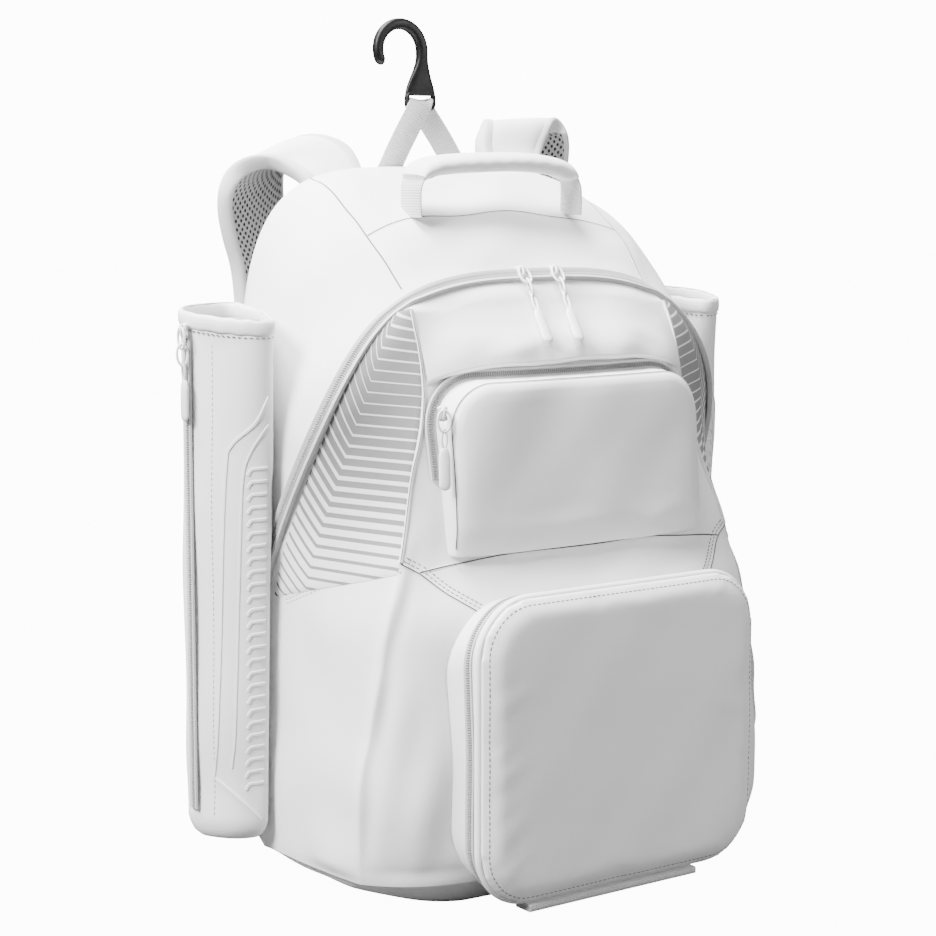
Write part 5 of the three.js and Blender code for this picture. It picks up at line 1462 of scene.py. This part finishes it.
# A strap: a superellipse section between its two edges, the wearer's side lined, both edges bound.
def makeStrap(sign, name):
    outer, inner = strapLines(sign)
    middle = (outer + inner) / 2
    across = unit(outer - inner)
    width = np.linalg.norm(outer - inner, axis=1)
    along = unit(np.gradient(middle, axis=0))
    up = unit(np.cross(along, across))
    if up[100, 1] < 0:
        up = -up  # away from the pack on the hanging stretch: the cloth side
    angle = np.linspace(0, 2 * math.pi, 40, endpoint=False)
    ca, sa = np.cos(angle), np.sin(angle)
    wide = np.sign(ca) * np.abs(ca) ** 0.55
    high = np.sign(sa) * np.abs(sa) ** 0.8
    ends = np.minimum(1, 0.55 + 0.45 * ease(np.minimum(np.arange(len(middle)),
                                                       len(middle) - 1 - np.arange(len(middle))) / 6))
    thick = strap["thick"] * 0.5 * ends
    pad = (middle[:, None] + across[:, None] * (wide[None, :, None] * (width / 2 - 1)[:, None, None])
           + up[:, None] * (high[None, :, None] * thick[:, None, None]))
    pad = pad + up[:, None] * (rumple(pad, 0.6, (1, 1, 1), 2.0 * sign) * np.clip(high, 0, 1)[None])[...,
                                                                                                    None]
    piece = gridPiece("shoulderStrap" + name, pad, wrap=True, caps=True)
    turnOutward(piece)
    dress(piece, coatedCloth, ["shoulder_strap_" + name.lower()])
    # the lining lies on the side of the wearer
    share = np.linspace(-1, 1, 26)
    bow = 1 - np.abs(share) ** 3
    lining = (middle[:, None] + across[:, None] * (share[None, :, None] * (width / 2 - 5.5)[:, None, None])
              - up[:, None] * ((thick[:, None] * 0.90 + 0.8 + 1.2 * bow[None])[..., None]))
    liningPiece = gridPiece("strapLining" + name, lining, outFrom=middle[60] + up[60] * 40)
    faceAway(liningPiece, lining, -up)
    dress(liningPiece, strapMesh)
    # binding folded round both edges
    for edge, tag, direction in ((outer, "Outer", 1), (inner, "Inner", -1)):
        turnAngle = np.linspace(-0.5 * math.pi - 0.5, 0.5 * math.pi + 0.5, 15)
        reach = strap["binding"]
        base = edge - across * direction * reach * 0.45
        a = np.cos(turnAngle) * reach * 0.55 + np.where(np.abs(turnAngle) > math.pi / 2,
                                                        -(np.abs(turnAngle) - math.pi / 2) * reach * 0.9, 0)
        b = np.sin(turnAngle)
        ring = (base[:, None] + across[:, None] * (direction * a[None, :, None])
                + up[:, None] * (b[None, :, None] * (thick * 0.86 + 1.0)[:, None, None]))
        strip = gridPiece("strapBinding" + name + tag, ring)
        faceAway(strip, ring, across * direction)
        dress(strip, bindingCloth)
    return middle, across, up, along


# Turns a strip's faces so that they look along a given direction for each row.
def faceAway(piece, grid, ways):
    polygons = np.zeros(len(piece.data.polygons) * 3)
    piece.data.polygons.foreach_get("normal", polygons)
    rows = np.clip(np.arange(len(polygons) // 3) // (grid.shape[1] - 1), 0, len(ways) - 1)
    if (polygons.reshape(-1, 3) * ways[rows]).sum() < 0:
        piece.data.flip_normals()


def ribbon(name, line, across, width, thick, nodes):  # webbing: an eight-sided flat section along a line
    w, t, roundness = width / 2, thick / 2, 0.35
    profile = [(-w, -t * roundness), (-w, t * roundness), (-w + t, t), (w - t, t), (w, t * roundness),
               (w, -t * roundness), (w - t, -t), (-w + t, -t)]
    tangent = unit(np.gradient(line, axis=0))
    across = np.broadcast_to(np.asarray(across, float), line.shape)
    side = unit(across - tangent * (across * tangent).sum(1, keepdims=True))
    up = np.cross(tangent, side)
    profile = np.array(profile)
    grid = line[:, None] + side[:, None] * profile[None, :, :1] + up[:, None] * profile[None, :, 1:]
    piece = gridPiece(name, grid, wrap=True, caps=True, sharp=0.6)
    turnOutward(piece)
    dress(piece, paleWebbing, nodes)


makeBackPad()
for sign, name in ((-1, "Left"), (1, "Right")):
    middle, across, up, along = makeStrap(sign, name)
    low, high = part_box("strap_webbing_" + name.lower())  # only read: the path has its own numbers
    end = middle[-1] + along[-1] * 38
    foot = np.array([sign * 146.0, 118.8, 36.0])
    path = smoothPath([middle[-6] + up[-1] * 1.0, middle[-1], end,
                       mix(end, foot, 0.5) + np.array([0, 4, 0]),
                       foot + np.array([0, 2.2, 22]), foot], 90)
    ribbon("strapWebbing" + name, path, across[-1], 25, 2.0, ["strap_webbing_" + name.lower()])
print("back made")

# Haul handle, hanging loop and hook
handle = {"y": 33.0, "gripWide": 28.0, "gripThick": 13.5}


def makeHandle():  # webbing along a low arch, and a superellipse grip round its top
    y = handle["y"]
    seat = [(-74.5, y, 472), (-75, y, 484), (-74, y, 496), (-67, y, 505), (-48, y, 509.5), (-2, y, 511.5),
            (44, y, 509.5), (63, y, 505), (70, y, 496), (71, y, 484), (70.5, y, 472)]
    line = smoothPath(seat, 120)
    ribbon("handleWebbing", line, (0, 1, 0.15), 25, 2.4, ["haul_handle"])
    grip = evenly(line[line[:, 2] > 499], 90)
    t = np.linspace(0, 1, 90)
    ends = 0.62 + 0.38 * ease(np.minimum(t, 1 - t) / 0.06)
    angle = np.linspace(0, 2 * math.pi, 36, endpoint=False)
    tangent = unit(np.gradient(grip, axis=0))
    side = unit(np.array([0, 1, 0.12]) - tangent * (tangent @ np.array([0, 1, 0.12]))[:, None])
    up = np.cross(side, tangent)
    up = up * np.sign(up[:, 2:3])
    wide = np.sign(np.cos(angle)) * np.abs(np.cos(angle)) ** 0.7 * handle["gripWide"] / 2
    high = np.sin(angle) * handle["gripThick"] / 2
    grid = grip[:, None] + side[:, None] * wide[None, :, None] + up[:, None] * (high[None]
                                                                                * ends[:, None])[..., None]
    grid = grid + up[:, None] * (0.5 * np.sin(t * 60)[:, None] * np.exp(-(high[None] / 4) ** 2)
                                 + rumple(grid, 0.5))[..., None]
    piece = gridPiece("handleGrip", grid, wrap=True, caps=True)
    turnOutward(piece)
    dress(piece, coatedCloth)


hang = {"x": -8.0, "y": 117.8, "bar": 555.0, "footLeft": -44.0, "footRight": 32.0}


def makeHangingLoop():  # webbing up from one foot, over the hook's bar and down to the other
    x, y, top = hang["x"], hang["y"], hang["bar"]
    left = np.array([hang["footLeft"], y - 1.4, 494.0])
    right = np.array([hang["footRight"], y + 1.2, 498.0])
    points = [left, mix(left, np.array([x - 3, y - 2.4, top]), 0.5), np.array([x - 3, y - 2.6, top - 3]),
              np.array([x, y, top + 2.4]),
              np.array([x + 3, y + 2.6, top - 3]), mix(right, np.array([x + 3, y + 2.4, top]), 0.5), right]
    line = smoothPath(points, 110)
    run = np.linspace(-1, 1, 110)
    slope = np.clip(run * 3.0, -1, 1)
    across = np.stack([np.full(110, 1.0), 0 * run, 0.62 * slope], 1)
    ribbon("hangingLoop", line, across, 20, 1.5, ["hanging_loop"])


hook = {"foot": 561.0, "top": 592.0, "bendX": -19.4, "bendZ": 593.6, "bend": 21.0, "wide": 27.0,
        "slim": 9.0, "tip": 7.6}


# The hook: an oval section carried from a broad foot up a tapering shank and round its bend.
def makeHook():
    x, y = hang["x"], hang["y"]
    centre = np.array([x + hook["bendX"], hook["bendZ"]])
    angle = np.linspace(0, 1.12 * math.pi, 44)
    radius = hook["bend"] * (1 - 0.14 * (angle / angle[-1]) ** 2)
    bend = np.stack([centre[0] + radius * np.cos(angle), np.full(44, y),
                     centre[1] + radius * np.sin(angle)], 1)
    shankZ = np.linspace(hook["foot"], hook["top"], 26)
    lean = 1.6 * ease((shankZ - hook["foot"]) / 30)
    shank = np.stack([x + lean, np.full(26, y), shankZ], 1)
    line = np.concatenate([shank, bend])
    width = np.concatenate([mix(hook["wide"], hook["slim"], ease((shankZ - hook["foot"]) / 30) ** 0.85),
                            np.linspace(hook["slim"], hook["tip"], 44)])
    thick = np.concatenate([np.linspace(5.5, 7.5, 26), np.linspace(7.5, 7.2, 44)])
    tangent = unit(np.gradient(line, axis=0))
    side = np.stack([-tangent[:, 2], 0 * tangent[:, 0], tangent[:, 0]], 1)
    turn = np.linspace(0, 2 * math.pi, 28, endpoint=False)
    square = lambda v, p: np.sign(v) * np.abs(v) ** p
    grid = (line[:, None] + side[:, None] * (square(np.cos(turn), 0.75)[None] * (width / 2)[:, None])[...,
                                                                                                      None]
            + np.array([0, 1, 0]) * (square(np.sin(turn), 0.7)[None] * (thick / 2)[:, None])[..., None])
    tip = line[-1] + tangent[-1] * 3.4
    grid = np.concatenate([grid, mix(grid[-1:], tip[None, None], 0.35) + tangent[-1] * 1.6,
                           mix(grid[-1:], tip[None, None], 0.8) + tangent[-1] * 1.2], 0)
    piece = gridPiece("hook", grid, wrap=True, caps=True, sharp=1.2)
    turnOutward(piece)
    dress(piece, blackPlastic, ["hook"])
    # the slot that holds the webbing, a rounded frame under the foot
    loop = roundLoop(12.0, hang["bar"] - 3.4, 563.0, 3.0, 3.0, 6, 5)
    frameLine = np.stack([loop[:, 0] + x, np.full(len(loop), y), loop[:, 1]], 1)
    frameLine = np.concatenate([frameLine, frameLine[:2]])
    slot = gridPiece("hookSlot", rod(frameLine, (0, 1, 0), 5.0, 3.4, 10), wrap=True)
    turnOutward(slot)
    dress(slot, blackPlastic)


makeHandle()
makeHangingLoop()
makeHook()
print("handle and hook made")

# Zip pulls: a slider, rings of wire, two strands of cord and a moulded tab
# length, width and thickness of slider and tab; half length, half width and wire of a ring
pull = {"slider": (11.0, 8.0, 5.0), "ring": (7.4, 4.6, 1.9), "cord": 2.4, "tab": (30.0, 8.4, 4.2),
        "restZ": 381.0}


# A closed oval ring of round wire.
def ovalRing(middle, longWay, wideWay, long, wide, wire):
    a = np.linspace(0, 2 * math.pi, 29)
    line = middle + np.outer(np.cos(a) * long, longWay) + np.outer(np.sin(a) * wide, wideWay)
    normal = np.cross(longWay, wideWay)
    return rod(line, normal, wire, wire, 8)


# A pull hangs from its slider along hangWay. Its parts are rods: the slider is waisted by a Gaussian,
# the cord's strands bow apart as sin, and the tab's ends are rounded by square roots.
def makePull(name, at, hangWay, out, nodes, rings=2, cordLong=17.0, swing=0.0):
    at, hangWay, out = (np.asarray(v, float) for v in (at, hangWay, out))
    hangWay = unit(hangWay)
    out = unit(out - hangWay * (out @ hangWay))
    side = np.cross(hangWay, out)
    parts = []

    def add(grid):
        parts.append((grid.reshape(-1, 3), gridFaces(grid.shape[0], grid.shape[1], True)))

    # slider: a waisted body with a bridge for the first ring
    t = np.linspace(-1, 1, 15)
    line = at + np.outer(t * pull["slider"][0] / 2, hangWay)
    swell = 1 - 0.28 * np.exp(-(t / 0.45) ** 2)
    closeEnds = np.sqrt(np.maximum(1e-4, 1 - np.abs(t) ** 8))
    add(rod(line, side, pull["slider"][1] * swell * closeEnds, pull["slider"][2] * 0.72 * closeEnds, 14))
    bridge = at + out * 1.6 + np.outer(t * 4.2,
                                       hangWay) + np.outer(1.8 * np.sqrt(np.maximum(0, 1 - t ** 2)), out)
    add(rod(bridge, side, 2.4, 1.6, 8))
    place = at + out * 3.0
    turned = False
    ringLong, ringWide, wire = pull["ring"]
    spot = place + hangWay * 5.2
    for _ in range(rings):
        wideWay = side if not turned else unit(side * 0.35 + out)
        add(ovalRing(spot, hangWay, wideWay, ringLong, ringWide if not turned else ringWide * 0.8, wire))
        spot = spot + hangWay * (ringLong * 2 - 3.4)
        turned = not turned
    start = spot - hangWay * (ringLong - 1.5)
    sway = unit(side * swing + hangWay)
    # two strands of cord from the last ring to the tab
    for s in (-1, 1):
        u = np.linspace(0, 1, 16)[:, None]
        strand = start + sway * (u * cordLong) + side * s * (0.4
                                                             + 1.5 * np.sin(math.pi * u)) + out * (-1.2 * u)
        add(rod(strand, out, pull["cord"] * 0.75, pull["cord"] * 0.75, 8))
    head = start + sway * cordLong - out * 1.2
    u = np.linspace(0, 1, 26)
    width = pull["tab"][1] * (0.62
                              + 0.38 * ease(u / 0.25)) * np.sqrt(np.maximum(1e-3,
                                                                            1 - np.clip((u - 0.86) / 0.14,
                                                                                        0, 1) ** 2))
    width = width * np.sqrt(np.maximum(1e-3, 1 - np.clip((0.07 - u) / 0.07, 0, 1) ** 2))
    thick = pull["tab"][2] * (0.8 + 0.2 * np.sin(math.pi * u)) * np.sqrt(np.maximum(1e-3,
                                                                                    1 - (2 * u - 1) ** 10))
    line = head + np.outer(u * pull["tab"][0] - 2, sway)
    add(rod(line, side, width, thick, 16))
    points, faces = joined(parts)
    piece = meshPiece(name, points, faces, sharp=1.2)
    turnOutward(piece)
    return dress(piece, whitePlastic, nodes)


for x, end, name in ((-14.4, -23.0, "Left"), (15.6, 5.0, "Right")):
    spot = zipOver(np.array([float(x)]))[0] + np.array([0, -3.2, 3.4])
    low = pull["restZ"]  # the tabs come to rest on the hood at this height
    rest = np.array([end, frontDepthAt([end], [low])[0] - pocket["hoodLift"] - 5.5, low])
    way = rest - spot
    makePull("mainPull" + name, spot, way, np.array([0, way[2], -way[1]]), ["main_pull_" + name.lower()], 2,
             15.0)
makePull("pocketPull", (-115.5, -62.5, 342), (-0.06, -0.12, -1), (-0.3, -1, 0.1), ["pocket_pull"], 1, 14.0,
         0.0)
for sign, name in ((-1, "Left"), (1, "Right")):
    makePull("sleevePull" + name, (sign * 240.5, 69.0, 396), (0, -0.1, -1), (sign, 0, 0),
             ["sleeve_pull_" + name.lower()], 2, 13.0, -0.12 * sign)
print("pulls made")

# All seams as one mesh. UV x is the distance from a seam's middle and y the length along it, in metres.
def makeSewing():
    parts = [(grid.reshape(-1, 3), gridFaces(grid.shape[0], grid.shape[1])) for grid, _ in seams]
    uvs = []
    for grid, columns in seams:
        corners = gridFaces(grid.shape[0], columns)
        middle = grid[:, columns // 2:columns // 2 + 1]
        u = np.linalg.norm(grid - middle, axis=2) * np.sign(np.arange(columns) - columns // 2)[None] * 0.001
        v = np.broadcast_to(lengthAlong(grid[:, columns // 2])[:, None] * 0.001, u.shape)
        uvs.append(np.stack([u, v], -1).reshape(-1, 2)[corners].reshape(-1, 2))
    points, faces = joined(parts)
    dress(meshPiece("bodySeams", points, faces, np.concatenate(uvs), 1.2), seamCloth)
    dress(meshPiece("greyStitches", *joined(stitches)), stitchThread)
    dress(meshPiece("paleStitches", *joined(paleStitches)), whiteThread)


makeSewing()
for name in ("buckle_left", "buckle_right"):  # the solids of the buckles show as they are
    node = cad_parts[name]
    node.data.materials.clear()
    node.data.materials.append(whitePlastic)
print("sewing made")

makeStage()
